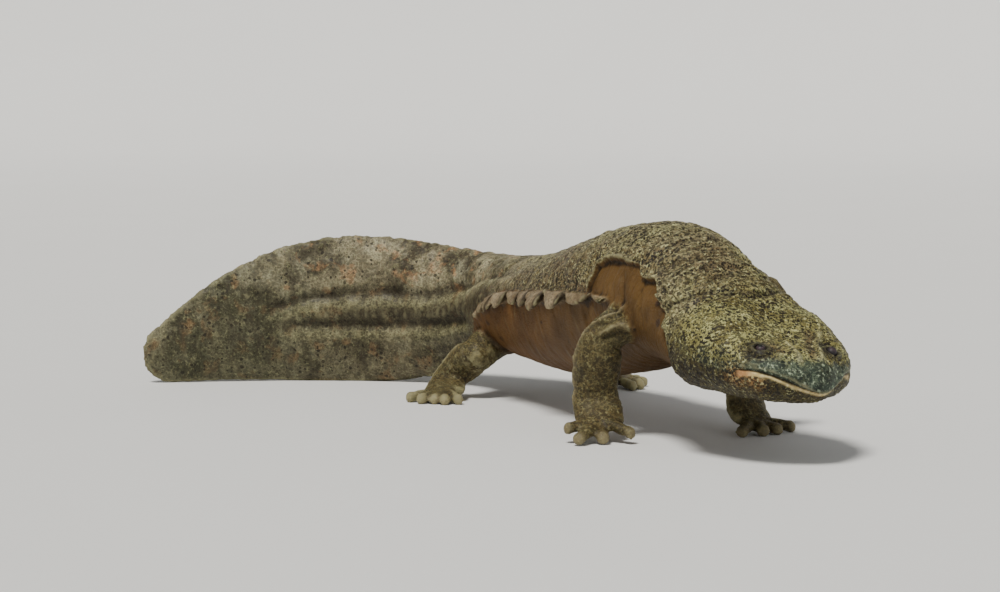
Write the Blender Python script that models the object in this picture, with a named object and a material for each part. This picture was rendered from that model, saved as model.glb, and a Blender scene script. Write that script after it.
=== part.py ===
"""A hellbender salamander, life size, standing on its four feet with its tail laid on the floor.

The body is one smooth form of sections strung along a bent spine, parted by thin gaps into head,
lower jaw, neck, trunk and tail. Each leg is a bent tube in three lengths, the last of them a hand or
foot with its toes, and a pleated fold of skin runs along each flank. Metres, +Z up, floor at z = 0.
The animal faces +X and -Y, and its tail points to -X.
"""

import math

import bmesh
import bpy
import numpy as np
from mathutils import Vector

# ---- Driving dimensions -----------------------------------------------------------------------
LENGTH = 0.537  # snout to tail tip, along the spine
SEAM = 0.0005  # gap between two lengths of the body or of a leg
CLEAR = 0.0004  # gap between the body and what grows from it
AROUND = 28  # corners of a body section
SPINE_STEP = 0.001  # the spine is worked out at points this far apart

HIPS_AT = 0.305  # distance from the snout to the hips
HIPS_PLACE = (0.030, 0.105)  # the point of the floor under the hips
HEAD_ROLL = math.radians(-5)  # the head leans a little to its left
ROLL_ENDS_AT = 0.115  # where the lean has died out

SNOUT_LENGTH = 0.050  # from the snout to the widest part of the head
SNOUT_BLUNTNESS = 0.015  # length over which the snout rounds off from above and below
TAIL_ROUNDING = 0.010  # length over which the tail's tip rounds off
KEEL = 0.0018  # half the thickness that the tail's upper and lower edges keep

NECK_AT, CHEST_AT, BELLY_AT, PELVIS_AT = 0.082, 0.108, 0.158, 0.262
TAIL_BASE_AT, TAIL_MIDDLE_AT, TAIL_END_AT = 0.328, 0.400, 0.474

# Stations along the spine. The heading is the way the spine runs towards the tail, in degrees
# from +X towards +Y. The height is that of the section's axis. Top and bottom say how pinched the
# section is: 1 is an ellipse, less is boxier, and more narrows to a keel.
#     at     heading height half_width rise   drop    top   bottom
STATIONS = np.array(
    [
        (0.000, 112.0, 0.0385, 0.0385, 0.0120, 0.0092, 0.50, 0.65),
        (0.030, 114.5, 0.0418, 0.0388, 0.0155, 0.0140, 0.47, 0.70),
        (0.060, 118.0, 0.0490, 0.0392, 0.0220, 0.0210, 0.60, 0.86),
        (0.076, 118.0, 0.0540, 0.0372, 0.0250, 0.0230, 0.74, 0.86),
        (0.094, 117.0, 0.0600, 0.0335, 0.0285, 0.0265, 0.80, 0.85),
        (0.125, 116.0, 0.0685, 0.0352, 0.0337, 0.0330, 0.88, 0.85),
        (0.165, 115.0, 0.0660, 0.0370, 0.0332, 0.0388, 0.90, 0.85),
        (0.210, 114.0, 0.0590, 0.0375, 0.0292, 0.0388, 0.90, 0.80),
        (0.255, 115.0, 0.0525, 0.0350, 0.0265, 0.0330, 0.95, 0.80),
        (0.305, 120.0, 0.0460, 0.0300, 0.0282, 0.0240, 1.05, 0.90),
        (0.335, 136.0, 0.0420, 0.0215, 0.0322, 0.0260, 1.30, 1.10),
        (0.370, 158.0, 0.0400, 0.0160, 0.0374, 0.0360, 1.60, 1.40),
        (0.410, 174.0, 0.0390, 0.0120, 0.0422, 0.0398, 1.70, 1.60),
        (0.450, 183.0, 0.0355, 0.0092, 0.0395, 0.0362, 1.70, 1.60),
        (0.487, 188.0, 0.0265, 0.0065, 0.0310, 0.0271, 1.60, 1.60),
        (0.514, 190.0, 0.0180, 0.0045, 0.0210, 0.0186, 1.50, 1.50),
        (0.537, 191.0, 0.0110, 0.0030, 0.0125, 0.0116, 1.40, 1.40),
    ]
)
AT, HEADING, HEIGHT, HALF_WIDTH, RISE, DROP, TOP, BOTTOM = STATIONS.T

# The mouth's line, as a height over the section's axis, and the jaw's hinge at its end.
MOUTH_AT = np.array((0.000, 0.004, 0.010, 0.024))
MOUTH_HEIGHT = np.array((-0.0040, -0.0018, 0.0008, 0.0020))
JAW_HINGE_AT = 0.024

EYE_RADIUS = 0.0026
EYE_AT = 0.0183
EYE_TURN_LEFT = math.radians(69)  # how far round from the side towards the crown
EYE_TURN_RIGHT = math.radians(64)  # the lean of the head brings this eye a little lower
EYE_SUNK = 0.0014  # how deep the eye's centre lies under the skin

# The pleated fold: where it starts and ends, how far round the flank it grows, and its pleats.
FOLD_START, FOLD_END = 0.134, 0.312
FOLD_TURNS = np.radians((-4, 1, 9, 12, -13))
FOLD_REACH = 0.0085
FOLD_THICKNESS = 0.0034
PLEAT_LENGTH = 0.0175
PLEAT_SWING = 0.0030

# ---- Colours: base colour and roughness -------------------------------------------------------
FINISHES = {
    "back_skin": ((0.165, 0.128, 0.078, 1.0), 0.45),
    "flank_skin": ((0.235, 0.130, 0.075, 1.0), 0.40),
    "eye": ((0.020, 0.014, 0.012, 1.0), 0.08),
}


# ---- Curves and the spine ---------------------------------------------------------------------
def through(at, knots, values):
    """A smooth curve through the knots: cubic between each two, its slopes taken from the neighbours."""
    slopes = np.gradient(values, knots)
    left = np.clip(np.searchsorted(knots, at, side="right") - 1, 0, len(knots) - 2)
    span = knots[left + 1] - knots[left]
    t = (at - knots[left]) / span
    return (
        (1 + 2 * t) * (1 - t) ** 2 * values[left]
        + t * (1 - t) ** 2 * span * slopes[left]
        + t**2 * (3 - 2 * t) * values[left + 1]
        + t**2 * (t - 1) * span * slopes[left + 1]
    )


def spine_points():
    """The spine's points, one a step. The heading is followed at unit speed, less what goes into
    climbing, and the whole is moved so that the hips stand over their place."""
    at = np.arange(0, LENGTH + SPINE_STEP, SPINE_STEP)
    heading = np.radians(through(at, AT, HEADING))
    height = through(at, AT, HEIGHT)
    run = np.sqrt(1 - np.gradient(height, at) ** 2) * SPINE_STEP
    x = np.cumsum(np.cos(heading) * run)
    y = np.cumsum(np.sin(heading) * run)
    hips = int(round(HIPS_AT / SPINE_STEP))
    x += HIPS_PLACE[0] - x[hips]
    y += HIPS_PLACE[1] - y[hips]
    return at, np.stack([x, y, height], axis=1)


SPINE_AT, SPINE = spine_points()


def unit(vectors):
    return vectors / np.linalg.norm(vectors, axis=-1, keepdims=True)


def frame(at):
    """Place, left, up and ahead of the body at a distance from the snout. Negative distances lie in
    front of the snout, on a straight line."""
    inside = min(max(at, 0.0), LENGTH)
    place = np.array([np.interp(inside, SPINE_AT, SPINE[:, k]) for k in range(3)])
    slopes = np.gradient(SPINE, SPINE_STEP, axis=0)
    ahead = -unit(np.array([np.interp(inside, SPINE_AT, slopes[:, k]) for k in range(3)]))
    left = unit(np.cross((0, 0, 1), ahead))
    up = np.cross(ahead, left)
    fade = np.clip(1 - at / ROLL_ENDS_AT, 0, 1)
    roll = HEAD_ROLL * math.sin(fade * math.pi / 2)
    left, up = left * math.cos(roll) + up * math.sin(roll), up * math.cos(roll) - left * math.sin(roll)
    return place + ahead * max(-at, 0.0), left, up, ahead


def rounded(distance, length):
    """0 at an end, 1 from length on, and a quarter of an ellipse between."""
    return math.sqrt(max(0.0, 1 - (1 - min(max(distance, 0.0), length) / length) ** 2))


def section(at):
    """Half width, rise, drop, top and bottom pinch of the body's section."""
    tail = rounded(LENGTH - at, TAIL_ROUNDING)
    wide = through(at, AT, HALF_WIDTH) * rounded(at, SNOUT_LENGTH) * tail
    blunt = rounded(at, SNOUT_BLUNTNESS) * tail
    rise = through(at, AT, RISE) * blunt
    drop = through(at, AT, DROP) * blunt
    return wide, rise, drop, through(at, AT, TOP), through(at, AT, BOTTOM)


def on_body(at, turn, proud=0.0):
    """A point of the body's surface, turned round the spine from the left side over the back.
    Across, it follows a cosine raised to the pinch, plus the keel's thickness times its square root,
    and upwards a sine. Proud stands off it."""
    place, left, up, _ = frame(at)
    wide, rise, drop, top, bottom = section(at)
    cosine, sine = math.cos(turn), math.sin(turn)
    pinch = top if sine > 0 else bottom
    keel = min(KEEL, wide)
    reach = (wide - keel + proud) * abs(cosine) ** pinch + keel * math.sqrt(abs(cosine))
    across = math.copysign(reach, cosine)
    upward = ((rise if sine > 0 else drop) + proud) * sine
    return place + left * across + up * upward


# ---- Meshes -----------------------------------------------------------------------------------
def finish(name):
    """The material of that name, made the first time it is asked for."""
    made = bpy.data.materials.get(name)
    if made is None:
        colour, roughness = FINISHES[name]
        made = bpy.data.materials.new(name)
        made.use_nodes = True
        shader = made.node_tree.nodes["Principled BSDF"]
        shader.inputs["Base Color"].default_value = colour
        shader.inputs["Roughness"].default_value = roughness
        shader.inputs["Metallic"].default_value = 0.0
        made.diffuse_color = colour
    return made


def make_object(name, form, skin):
    """An object of the finished form, a bmesh, with its faces turned outwards and smooth."""
    bmesh.ops.recalc_face_normals(form, faces=form.faces[:])
    mesh = bpy.data.meshes.new(name)
    form.to_mesh(mesh)
    form.free()
    mesh.materials.append(finish(skin))
    mesh.shade_smooth()
    mesh.set_sharp_from_angle(angle=math.radians(50))
    made = bpy.data.objects.new(name, mesh)
    bpy.context.scene.collection.objects.link(made)
    return made


def skin_rings(name, rings, skin):
    """A closed body through the rings. A ring of one point closes an end to a tip, and any other end
    gets a flat cap."""
    form = bmesh.new()
    loops = [[form.verts.new(point) for point in ring] for ring in rings]
    for first, second in zip(loops, loops[1:]):
        count = max(len(first), len(second))
        for k in range(count):
            corners = [first[k % len(first)], first[(k + 1) % count % len(first)]]
            corners += [second[(k + 1) % count % len(second)], second[k % len(second)]]
            form.faces.new(dict.fromkeys(corners))
    for end in (loops[0], loops[-1]):
        if len(end) > 1:
            form.faces.new(end)
    return make_object(name, form, skin)


def body_ring(at, proud=0.0):
    turns = np.linspace(0, 2 * math.pi, AROUND, endpoint=False)
    return [on_body(at, turn, proud) for turn in turns]


def body_length(name, start, end, count, skin="back_skin", proud=0.0):
    """The part of the body between two distances from the snout, its rings evenly spaced."""
    rings = [body_ring(at, proud) for at in np.linspace(start, end, count)]
    return skin_rings(name, rings, skin)


def combine(body, other, operation):
    """Applies a Boolean to the body and removes the other one."""
    modifier = body.modifiers.new(operation.title(), "BOOLEAN")
    modifier.operation = operation
    modifier.solver = "EXACT"
    modifier.object = other
    bpy.context.view_layer.update()
    graph = bpy.context.evaluated_depsgraph_get()
    whole = bpy.data.meshes.new_from_object(body.evaluated_get(graph))
    body.modifiers.clear()
    body.data = whole
    bpy.data.objects.remove(other)


def trim(body, point, normal):
    """Cuts the body with a plane, keeps what lies on the normal's side, and closes the cut."""
    form = bmesh.new()
    form.from_mesh(body.data)
    everything = form.verts[:] + form.edges[:] + form.faces[:]
    made = bmesh.ops.bisect_plane(
        form, geom=everything, plane_co=point, plane_no=normal, clear_inner=True
    )
    rim = [part for part in made["geom_cut"] if isinstance(part, bmesh.types.BMEdge)]
    bmesh.ops.holes_fill(form, edges=rim, sides=0)
    bmesh.ops.recalc_face_normals(form, faces=form.faces[:])
    form.to_mesh(body.data)
    form.free()


def flatten_on_floor(body):
    """Cuts off what dips under the floor, which leaves the small flats that the animal stands on."""
    trim(body, (0, 0, 0), (0, 0, 1))


# ---- Head -------------------------------------------------------------------------------------
def mouth_block(end, lift):
    """The space under the mouth's line, from in front of the snout back to an end, lifted a little.
    Its rings are rectangles wider and deeper than the head."""
    reach = 0.060
    rings = []
    for at in np.linspace(-0.010, end, 10):
        place, left, up, _ = frame(at)
        line = through(np.clip(at, 0, MOUTH_AT[-1]), MOUTH_AT, MOUTH_HEIGHT) + lift
        corners = ((reach, line), (-reach, line), (-reach, -reach), (reach, -reach))
        rings.append([place + left * across + up * height for across, height in corners])
    return skin_rings("mouth_block", rings, "flank_skin")


def eye_centre(side):
    """The middle of an eye, side 1 for the left one and -1 for the right."""
    turn = EYE_TURN_LEFT if side > 0 else math.pi - EYE_TURN_RIGHT
    return Vector(on_body(EYE_AT, turn, -EYE_SUNK))


def ball(name, centre, radius, skin):
    form = bmesh.new()
    bmesh.ops.create_uvsphere(form, u_segments=14, v_segments=8, radius=radius)
    bmesh.ops.translate(form, verts=form.verts[:], vec=centre)
    return make_object(name, form, skin)


def make_head():
    """The head with the upper jaw, the lower jaw under the mouth's line, and the eyes in sockets."""
    snout = [body_ring(at) for at in SNOUT_LENGTH * (1 - np.cos(np.linspace(0.16, math.pi / 2, 9)))]
    back = [body_ring(at) for at in np.linspace(SNOUT_LENGTH, NECK_AT - SEAM / 2, 3)[1:]]
    tip = [[frame(0.0)[0]]]
    head = skin_rings("head", tip + snout + back, "back_skin")
    jaw = skin_rings("lower_jaw", tip + snout + back, "back_skin")
    combine(head, mouth_block(JAW_HINGE_AT, SEAM / 2), "DIFFERENCE")
    combine(jaw, mouth_block(JAW_HINGE_AT - SEAM, -SEAM / 2), "INTERSECT")
    for side, name in ((1, "eye_left"), (-1, "eye_right")):
        centre = eye_centre(side)
        ball(name, centre, EYE_RADIUS, "eye")
        combine(head, ball("socket", centre, EYE_RADIUS + CLEAR, "eye"), "DIFFERENCE")


# ---- Trunk, tail and side folds ---------------------------------------------------------------
def make_trunk_and_tail():
    lengths = (
        ("neck", NECK_AT, CHEST_AT, 4),
        ("chest", CHEST_AT, BELLY_AT, 6),
        ("belly", BELLY_AT, PELVIS_AT, 9),
        ("pelvis", PELVIS_AT, TAIL_BASE_AT, 7),
        ("tail_base", TAIL_BASE_AT, TAIL_MIDDLE_AT, 8),
        ("tail_middle", TAIL_MIDDLE_AT, TAIL_END_AT, 8),
    )
    for name, start, end, count in lengths:
        length = body_length(name, start + SEAM / 2, end - SEAM / 2, count)
        if name.startswith("tail"):
            flatten_on_floor(length)
    tip_start = LENGTH - TAIL_ROUNDING
    ats = list(np.linspace(TAIL_END_AT + SEAM / 2, tip_start, 7))
    ats += list(LENGTH - TAIL_ROUNDING * (1 - np.sin(np.linspace(0.35, 1.4, 4))))
    rings = [body_ring(at) for at in ats] + [[frame(LENGTH)[0]]]
    flatten_on_floor(skin_rings("tail_tip", rings, "back_skin"))


def fold_turn(at, side):
    """How far round the body the fold grows from: level with the side, and lower towards the hips."""
    knots = np.linspace(FOLD_START, FOLD_END, len(FOLD_TURNS))
    turn = through(at, knots, FOLD_TURNS)
    return turn if side > 0 else math.pi - turn


def fold_ring(at, side):
    """A section of the fold: a tongue out of the flank, whose edge swings up and down in pleats."""
    share = (at - FOLD_START) / (FOLD_END - FOLD_START)
    swell = math.sin(math.pi * min(max(share, 0.02), 0.98)) ** 0.5
    phase = 2 * math.pi * (at - FOLD_START) / PLEAT_LENGTH
    turn = fold_turn(at, side)
    _, left, up, _ = frame(at)
    root = on_body(at, turn, CLEAR)
    out = left * side
    thick = FOLD_THICKNESS * (0.4 + 0.6 * swell)
    reach = FOLD_REACH * swell
    swing = PLEAT_SWING * swell * math.sin(phase)
    droop = -0.15 * reach
    above = on_body(at, turn + side * thick / 2 / 0.034, CLEAR)
    below = on_body(at, turn - side * thick / 2 / 0.034, CLEAR)
    edge = root + out * reach + up * (swing + droop)
    middle = root + out * reach * 0.55 + up * (swing * 0.6 + droop * 0.5)
    ring = [
        above,
        middle + up * thick * 0.5,
        edge + up * thick * 0.38,
        edge + out * thick * 0.3,
        edge - up * thick * 0.38,
        middle - up * thick * 0.5,
        below,
    ]
    return ring


def make_side_folds():
    count = int(round((FOLD_END - FOLD_START) / PLEAT_LENGTH * 5))
    for side, name in ((1, "side_fold_left"), (-1, "side_fold_right")):
        rings = [fold_ring(at, side) for at in np.linspace(FOLD_START, FOLD_END, count)]
        skin_rings(name, rings, "flank_skin")


# ---- Legs -------------------------------------------------------------------------------------
# Each leg runs down a table of rows from inside the body to the knuckles: how far ahead of the
# joint's station, how far out from the spine, height over the floor, half width and half thickness.
# The rows lie at the root, upper leg, elbow or knee, lower leg, wrist or ankle, palm and knuckles.
RIGHT_ARM = (
    (0.006, 0.014, 0.0600, 0.0120, 0.0110),
    (0.000, 0.029, 0.0575, 0.0115, 0.0105),
    (-0.006, 0.040, 0.0480, 0.0116, 0.0090),
    (-0.009, 0.041, 0.0340, 0.0112, 0.0075),
    (-0.010, 0.041, 0.0225, 0.0104, 0.0062),
    (-0.007, 0.042, 0.0155, 0.0120, 0.0050),
    (0.001, 0.0445, 0.0092, 0.0118, 0.0038),
)
LEFT_ARM = (
    (0.002, 0.012, 0.0670, 0.0120, 0.0110),
    (0.003, 0.031, 0.0700, 0.0112, 0.0103),
    (0.005, 0.0465, 0.0660, 0.0112, 0.0095),
    (0.001, 0.048, 0.0430, 0.0110, 0.0075),
    (-0.005, 0.041, 0.0220, 0.0100, 0.0062),
    (-0.002, 0.038, 0.0120, 0.0118, 0.0050),
    (0.006, 0.037, 0.0055, 0.0118, 0.0036),
)
LEG = (
    (0.000, 0.006, 0.0330, 0.0115, 0.0100),
    (0.006, 0.021, 0.0290, 0.0110, 0.0095),
    (0.011, 0.034, 0.0235, 0.0100, 0.0085),
    (0.005, 0.039, 0.0170, 0.0092, 0.0070),
    (0.000, 0.043, 0.0112, 0.0088, 0.0056),
    (0.004, 0.048, 0.0072, 0.0105, 0.0046),
    (0.011, 0.054, 0.0050, 0.0110, 0.0036),
)
ROW_ELBOW, ROW_WRIST = 2, 4
LIMB_CORNERS = 12
RINGS_PER_ROW = 2

# Fingers and toes: turn from the way the hand points, in degrees towards the body's middle, length
# beyond the knuckles, and height of the tip over the floor.
RIGHT_FINGERS = (
    (54, 0.0095, 0.0048),
    (2, 0.0135, 0.0023),
    (-38, 0.0135, 0.0025),
    (-70, 0.0080, 0.0068),
)
LEFT_FINGERS = (
    (56, 0.0115, 0.0023),
    (20, 0.0135, 0.0023),
    (-17, 0.0135, 0.0023),
    (-55, 0.0115, 0.0023),
)
TOES = (
    (48, 0.0105, 0.0023),
    (22, 0.0140, 0.0023),
    (-2, 0.0155, 0.0023),
    (-27, 0.0140, 0.0023),
    (-56, 0.0115, 0.0023),
)
FINGER_HALF_WIDTH, FINGER_HALF_THICKNESS = 0.0035, 0.0029
FINGER_CORNERS = 10

# Name, side (1 is left), station along the spine, rows, way the hand points in degrees from
# straight ahead outwards, digits and the names of the three lengths.
LIMBS = (
    ("right", -1, 0.125, RIGHT_ARM, 24, RIGHT_FINGERS, ("upper_arm", "forearm", "hand")),
    ("left", 1, 0.125, LEFT_ARM, 10, LEFT_FINGERS, ("upper_arm", "forearm", "hand")),
    ("right", -1, 0.307, LEG, 50, TOES, ("thigh", "shank", "foot")),
    ("left", 1, 0.307, LEG, 50, TOES, ("thigh", "shank", "foot")),
)


def level_axes(station, side):
    """The way ahead and the way out of the body at a station, both level."""
    _, _, _, ahead = frame(station)
    ahead = unit(np.array((ahead[0], ahead[1], 0.0)))
    out = np.cross((0, 0, 1), ahead) * side
    return ahead, out


def limb_rows(station, side, rows):
    """The rows' middles in the world, and their half widths and half thicknesses."""
    place = frame(station)[0] * (1, 1, 0)
    ahead, out = level_axes(station, side)
    rows = np.array(rows)
    middles = place + rows[:, :1] * ahead + rows[:, 1:2] * out + rows[:, 2:3] * (0, 0, 1)
    return middles, rows[:, 3:]


def hand_heading(station, side, degrees):
    ahead, out = level_axes(station, side)
    turn = math.radians(degrees)
    return ahead * math.cos(turn) + out * math.sin(turn)


def oval(middle, tangent, across, half_width, half_thickness, corners):
    """An elliptic ring square to the tangent, its width lying along across."""
    across = unit(across - tangent * np.dot(across, tangent))
    other = np.cross(tangent, across)
    turns = np.linspace(0, 2 * math.pi, corners, endpoint=False)
    return [
        middle + across * half_width * math.cos(turn) + other * half_thickness * math.sin(turn)
        for turn in turns
    ]


def limb_at(middles, halves, row):
    """The leg's middle, the way it runs, and its half width and half thickness at a row number,
    which may lie between two rows."""
    knots = np.arange(len(middles), dtype=float)
    middle = np.array([through(row, knots, middles[:, k]) for k in range(3)])
    beyond = np.array([through(row + 0.01, knots, middles[:, k]) for k in range(3)])
    wide, thick = (through(row, knots, halves[:, k]) for k in range(2))
    return middle, unit(beyond - middle), wide, thick


def finger(start, heading, length, tip_height):
    """A blunt finger running down to the floor from inside the knuckles, a little swollen at its tip."""
    across = np.cross((0, 0, 1), heading)
    buried = 0.006
    shares = (0.0, 0.35, 0.62, 0.84, 0.95)
    swells = (0.95, 0.88, 0.95, 0.92, 0.62)
    drop = start[2] - tip_height
    rings = []
    for share, swell in zip(shares, swells):
        middle = start + heading * (share * (length + buried) - buried) - np.array((0, 0, drop * share))
        wide, thick = FINGER_HALF_WIDTH * swell, FINGER_HALF_THICKNESS * swell
        rings.append(oval(middle, heading, across, wide, thick, FINGER_CORNERS))
    tip = start + heading * length - np.array((0, 0, drop))
    return skin_rings("finger", rings + [[tip]], "back_skin")


def make_limb(side_name, side, station, rows, points_out, digits, names):
    """A leg in three lengths, cut back from the trunk, with its digits joined to the last."""
    middles, halves = limb_rows(station, side, rows)
    heading = hand_heading(station, side, points_out)
    across = np.cross((0, 0, 1), heading)
    last = len(rows) - 1
    spans = ((0, ROW_ELBOW), (ROW_ELBOW, ROW_WRIST), (ROW_WRIST, last))
    for name, (start, end) in zip(names, spans):
        rings = []
        for row in np.linspace(start, end, (end - start) * RINGS_PER_ROW + 1):
            middle, tangent, wide, thick = limb_at(middles, halves, row)
            rings.append(oval(middle, tangent, across, wide, thick, LIMB_CORNERS))
        length = skin_rings(f"{name}_{side_name}", rings, "back_skin")
        if start > 0:
            middle, tangent, _, _ = limb_at(middles, halves, start)
            trim(length, middle + tangent * SEAM / 2, tangent)
        else:
            trunk = body_length("trunk", station - 0.045, station + 0.045, 10, proud=CLEAR)
            combine(length, trunk, "DIFFERENCE")
        if end < last:
            middle, tangent, _, _ = limb_at(middles, halves, end)
            trim(length, middle - tangent * SEAM / 2, -tangent)
    towards_middle = -level_axes(station, side)[1]
    turning = 1 if np.cross(heading, towards_middle)[2] > 0 else -1
    for degrees, reach, tip_height in digits:
        turn = math.radians(degrees) * turning
        way = heading * math.cos(turn) + np.cross((0, 0, 1), heading) * math.sin(turn)
        knuckle = middles[-1] + way * halves[-1][0] * abs(math.sin(turn))
        combine(length, finger(knuckle, way, reach, tip_height), "UNION")
    flatten_on_floor(length)


def clear_scene():
    for obj in list(bpy.data.objects):
        bpy.data.objects.remove(obj)


def main():
    clear_scene()
    make_head()
    make_trunk_and_tail()
    make_side_folds()
    for limb in LIMBS:
        make_limb(*limb)


main()
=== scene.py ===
"""A hellbender salamander with the skin it has in life, built round the plain solids of its body.

One skin covers head, trunk, legs, side folds and tail. It starts as smooth tubes that follow the same
measures as the solids, is fused into one surface, and gets its wrinkles, folds and pimples by moving
its points in and out. The eyes are pieces of their own. Metres, +Z up, floor at z = 0.
"""

import math

import bmesh
import bpy
import numpy as np
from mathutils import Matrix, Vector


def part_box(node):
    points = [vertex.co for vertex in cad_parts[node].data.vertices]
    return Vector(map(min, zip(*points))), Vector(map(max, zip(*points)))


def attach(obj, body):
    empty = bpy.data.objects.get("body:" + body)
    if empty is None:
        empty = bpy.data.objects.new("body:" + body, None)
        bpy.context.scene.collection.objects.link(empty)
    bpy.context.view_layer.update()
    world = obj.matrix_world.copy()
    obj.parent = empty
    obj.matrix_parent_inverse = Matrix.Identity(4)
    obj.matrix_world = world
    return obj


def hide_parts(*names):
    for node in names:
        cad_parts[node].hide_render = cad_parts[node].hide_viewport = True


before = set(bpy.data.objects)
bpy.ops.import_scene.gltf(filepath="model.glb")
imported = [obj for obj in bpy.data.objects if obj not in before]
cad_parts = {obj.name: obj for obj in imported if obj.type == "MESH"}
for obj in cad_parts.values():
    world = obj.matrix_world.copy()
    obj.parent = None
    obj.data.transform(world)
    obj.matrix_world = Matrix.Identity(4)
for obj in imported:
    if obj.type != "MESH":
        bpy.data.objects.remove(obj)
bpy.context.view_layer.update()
MM = 0.001

# ---- Measures that the solids are built to -----------------------------------------------------
LENGTH = 0.537
SPINE_STEP = 0.001
HIPS_AT, HIPS_PLACE = 0.305, (0.030, 0.105)
HEAD_ROLL, ROLL_ENDS_AT = math.radians(-5), 0.115
SNOUT_LENGTH, SNOUT_BLUNTNESS = 0.050, 0.015
TAIL_ROUNDING = 0.010
KEEL = 0.0018

# Distance from the snout, heading, height, half width, rise, drop, pinch of the top and the bottom.
STATIONS = (
    (0.000, 112.0, 0.0385, 0.0385, 0.0120, 0.0092, 0.50, 0.65),
    (0.030, 114.5, 0.0418, 0.0388, 0.0155, 0.0140, 0.47, 0.70),
    (0.060, 118.0, 0.0490, 0.0392, 0.0220, 0.0210, 0.60, 0.86),
    (0.076, 118.0, 0.0540, 0.0372, 0.0250, 0.0230, 0.74, 0.86),
    (0.094, 117.0, 0.0600, 0.0335, 0.0285, 0.0265, 0.80, 0.85),
    (0.125, 116.0, 0.0685, 0.0352, 0.0337, 0.0330, 0.88, 0.85),
    (0.165, 115.0, 0.0660, 0.0370, 0.0332, 0.0388, 0.90, 0.85),
    (0.210, 114.0, 0.0590, 0.0375, 0.0292, 0.0388, 0.90, 0.80),
    (0.255, 115.0, 0.0525, 0.0350, 0.0265, 0.0330, 0.95, 0.80),
    (0.305, 120.0, 0.0460, 0.0300, 0.0282, 0.0240, 1.05, 0.90),
    (0.335, 136.0, 0.0420, 0.0215, 0.0322, 0.0260, 1.30, 1.10),
    (0.370, 158.0, 0.0400, 0.0160, 0.0374, 0.0360, 1.60, 1.40),
    (0.410, 174.0, 0.0390, 0.0120, 0.0422, 0.0398, 1.70, 1.60),
    (0.450, 183.0, 0.0355, 0.0092, 0.0395, 0.0362, 1.70, 1.60),
    (0.487, 188.0, 0.0265, 0.0065, 0.0310, 0.0271, 1.60, 1.60),
    (0.514, 190.0, 0.0180, 0.0045, 0.0210, 0.0186, 1.50, 1.50),
    (0.537, 191.0, 0.0110, 0.0030, 0.0125, 0.0116, 1.40, 1.40),
)
AT, HEADING, HEIGHT, HALF_WIDTH, RISE, DROP, TOP, BOTTOM = np.array(STATIONS).T

EYE_RADIUS = 0.0026
FOLD_START, FOLD_END = 0.134, 0.312
FOLD_TURNS = np.radians((-4, 1, 9, 12, -13))
FOLD_REACH, FOLD_THICKNESS, PLEAT_SWING = 0.0085, 0.0034, 0.0030
LOBE_LENGTH = 0.0190
BEADS_AT, BEAD_LENGTH = 0.262, 0.0125  # past this place the lobes become small and close

# Rows of a leg: ahead, out, height, half width, half thickness.
RIGHT_ARM = (
    (0.006, 0.014, 0.0600, 0.0120, 0.0110),
    (0.000, 0.029, 0.0575, 0.0115, 0.0105),
    (-0.006, 0.040, 0.0480, 0.0116, 0.0090),
    (-0.009, 0.041, 0.0340, 0.0112, 0.0075),
    (-0.010, 0.041, 0.0225, 0.0104, 0.0062),
    (-0.007, 0.042, 0.0155, 0.0120, 0.0050),
    (0.001, 0.0445, 0.0092, 0.0118, 0.0038),
)
LEFT_ARM = (
    (0.002, 0.012, 0.0670, 0.0120, 0.0110),
    (0.003, 0.031, 0.0700, 0.0112, 0.0103),
    (0.005, 0.0465, 0.0660, 0.0112, 0.0095),
    (0.001, 0.048, 0.0430, 0.0110, 0.0075),
    (-0.005, 0.041, 0.0220, 0.0100, 0.0062),
    (-0.002, 0.038, 0.0120, 0.0118, 0.0050),
    (0.006, 0.037, 0.0055, 0.0118, 0.0036),
)
LEG = (
    (0.000, 0.006, 0.0330, 0.0115, 0.0100),
    (0.006, 0.021, 0.0290, 0.0110, 0.0095),
    (0.011, 0.034, 0.0235, 0.0100, 0.0085),
    (0.005, 0.039, 0.0170, 0.0092, 0.0070),
    (0.000, 0.043, 0.0112, 0.0088, 0.0056),
    (0.004, 0.048, 0.0072, 0.0105, 0.0046),
    (0.011, 0.054, 0.0050, 0.0110, 0.0036),
)
# Turn of a digit, length beyond the knuckles, height of its tip over the floor.
RIGHT_FINGERS = ((54, 0.0095, 0.0048), (2, 0.0135, 0.0023), (-38, 0.0135, 0.0025), (-70, 0.0080, 0.0068))
LEFT_FINGERS = ((56, 0.0115, 0.0023), (20, 0.0135, 0.0023), (-17, 0.0135, 0.0023), (-55, 0.0115, 0.0023))
TOES = (
    (48, 0.0105, 0.0023),
    (22, 0.0140, 0.0023),
    (-2, 0.0155, 0.0023),
    (-27, 0.0140, 0.0023),
    (-56, 0.0115, 0.0023),
)
FINGER_HALF_WIDTH, FINGER_HALF_THICKNESS = 0.0035, 0.0029
FINGER_SLIM, TOE_SLIM = 0.92, 0.76  # the skin's digits are slimmer than the solids', with gaps between

# Side (1 is left), station, rows, degrees by which the hand points outwards, digits.
LIMBS = (
    (-1, 0.125, RIGHT_ARM, 24, RIGHT_FINGERS),
    (1, 0.125, LEFT_ARM, 10, LEFT_FINGERS),
    (-1, 0.307, LEG, 50, TOES),
    (1, 0.307, LEG, 50, TOES),
)
LIMB_STEPS = 20  # points of a leg's path from row to row

GRAIN = 1.2 * MM  # the skin's points lie this far apart when it is fused
TRIANGLES = 194_000  # what the skin is thinned out to


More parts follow.
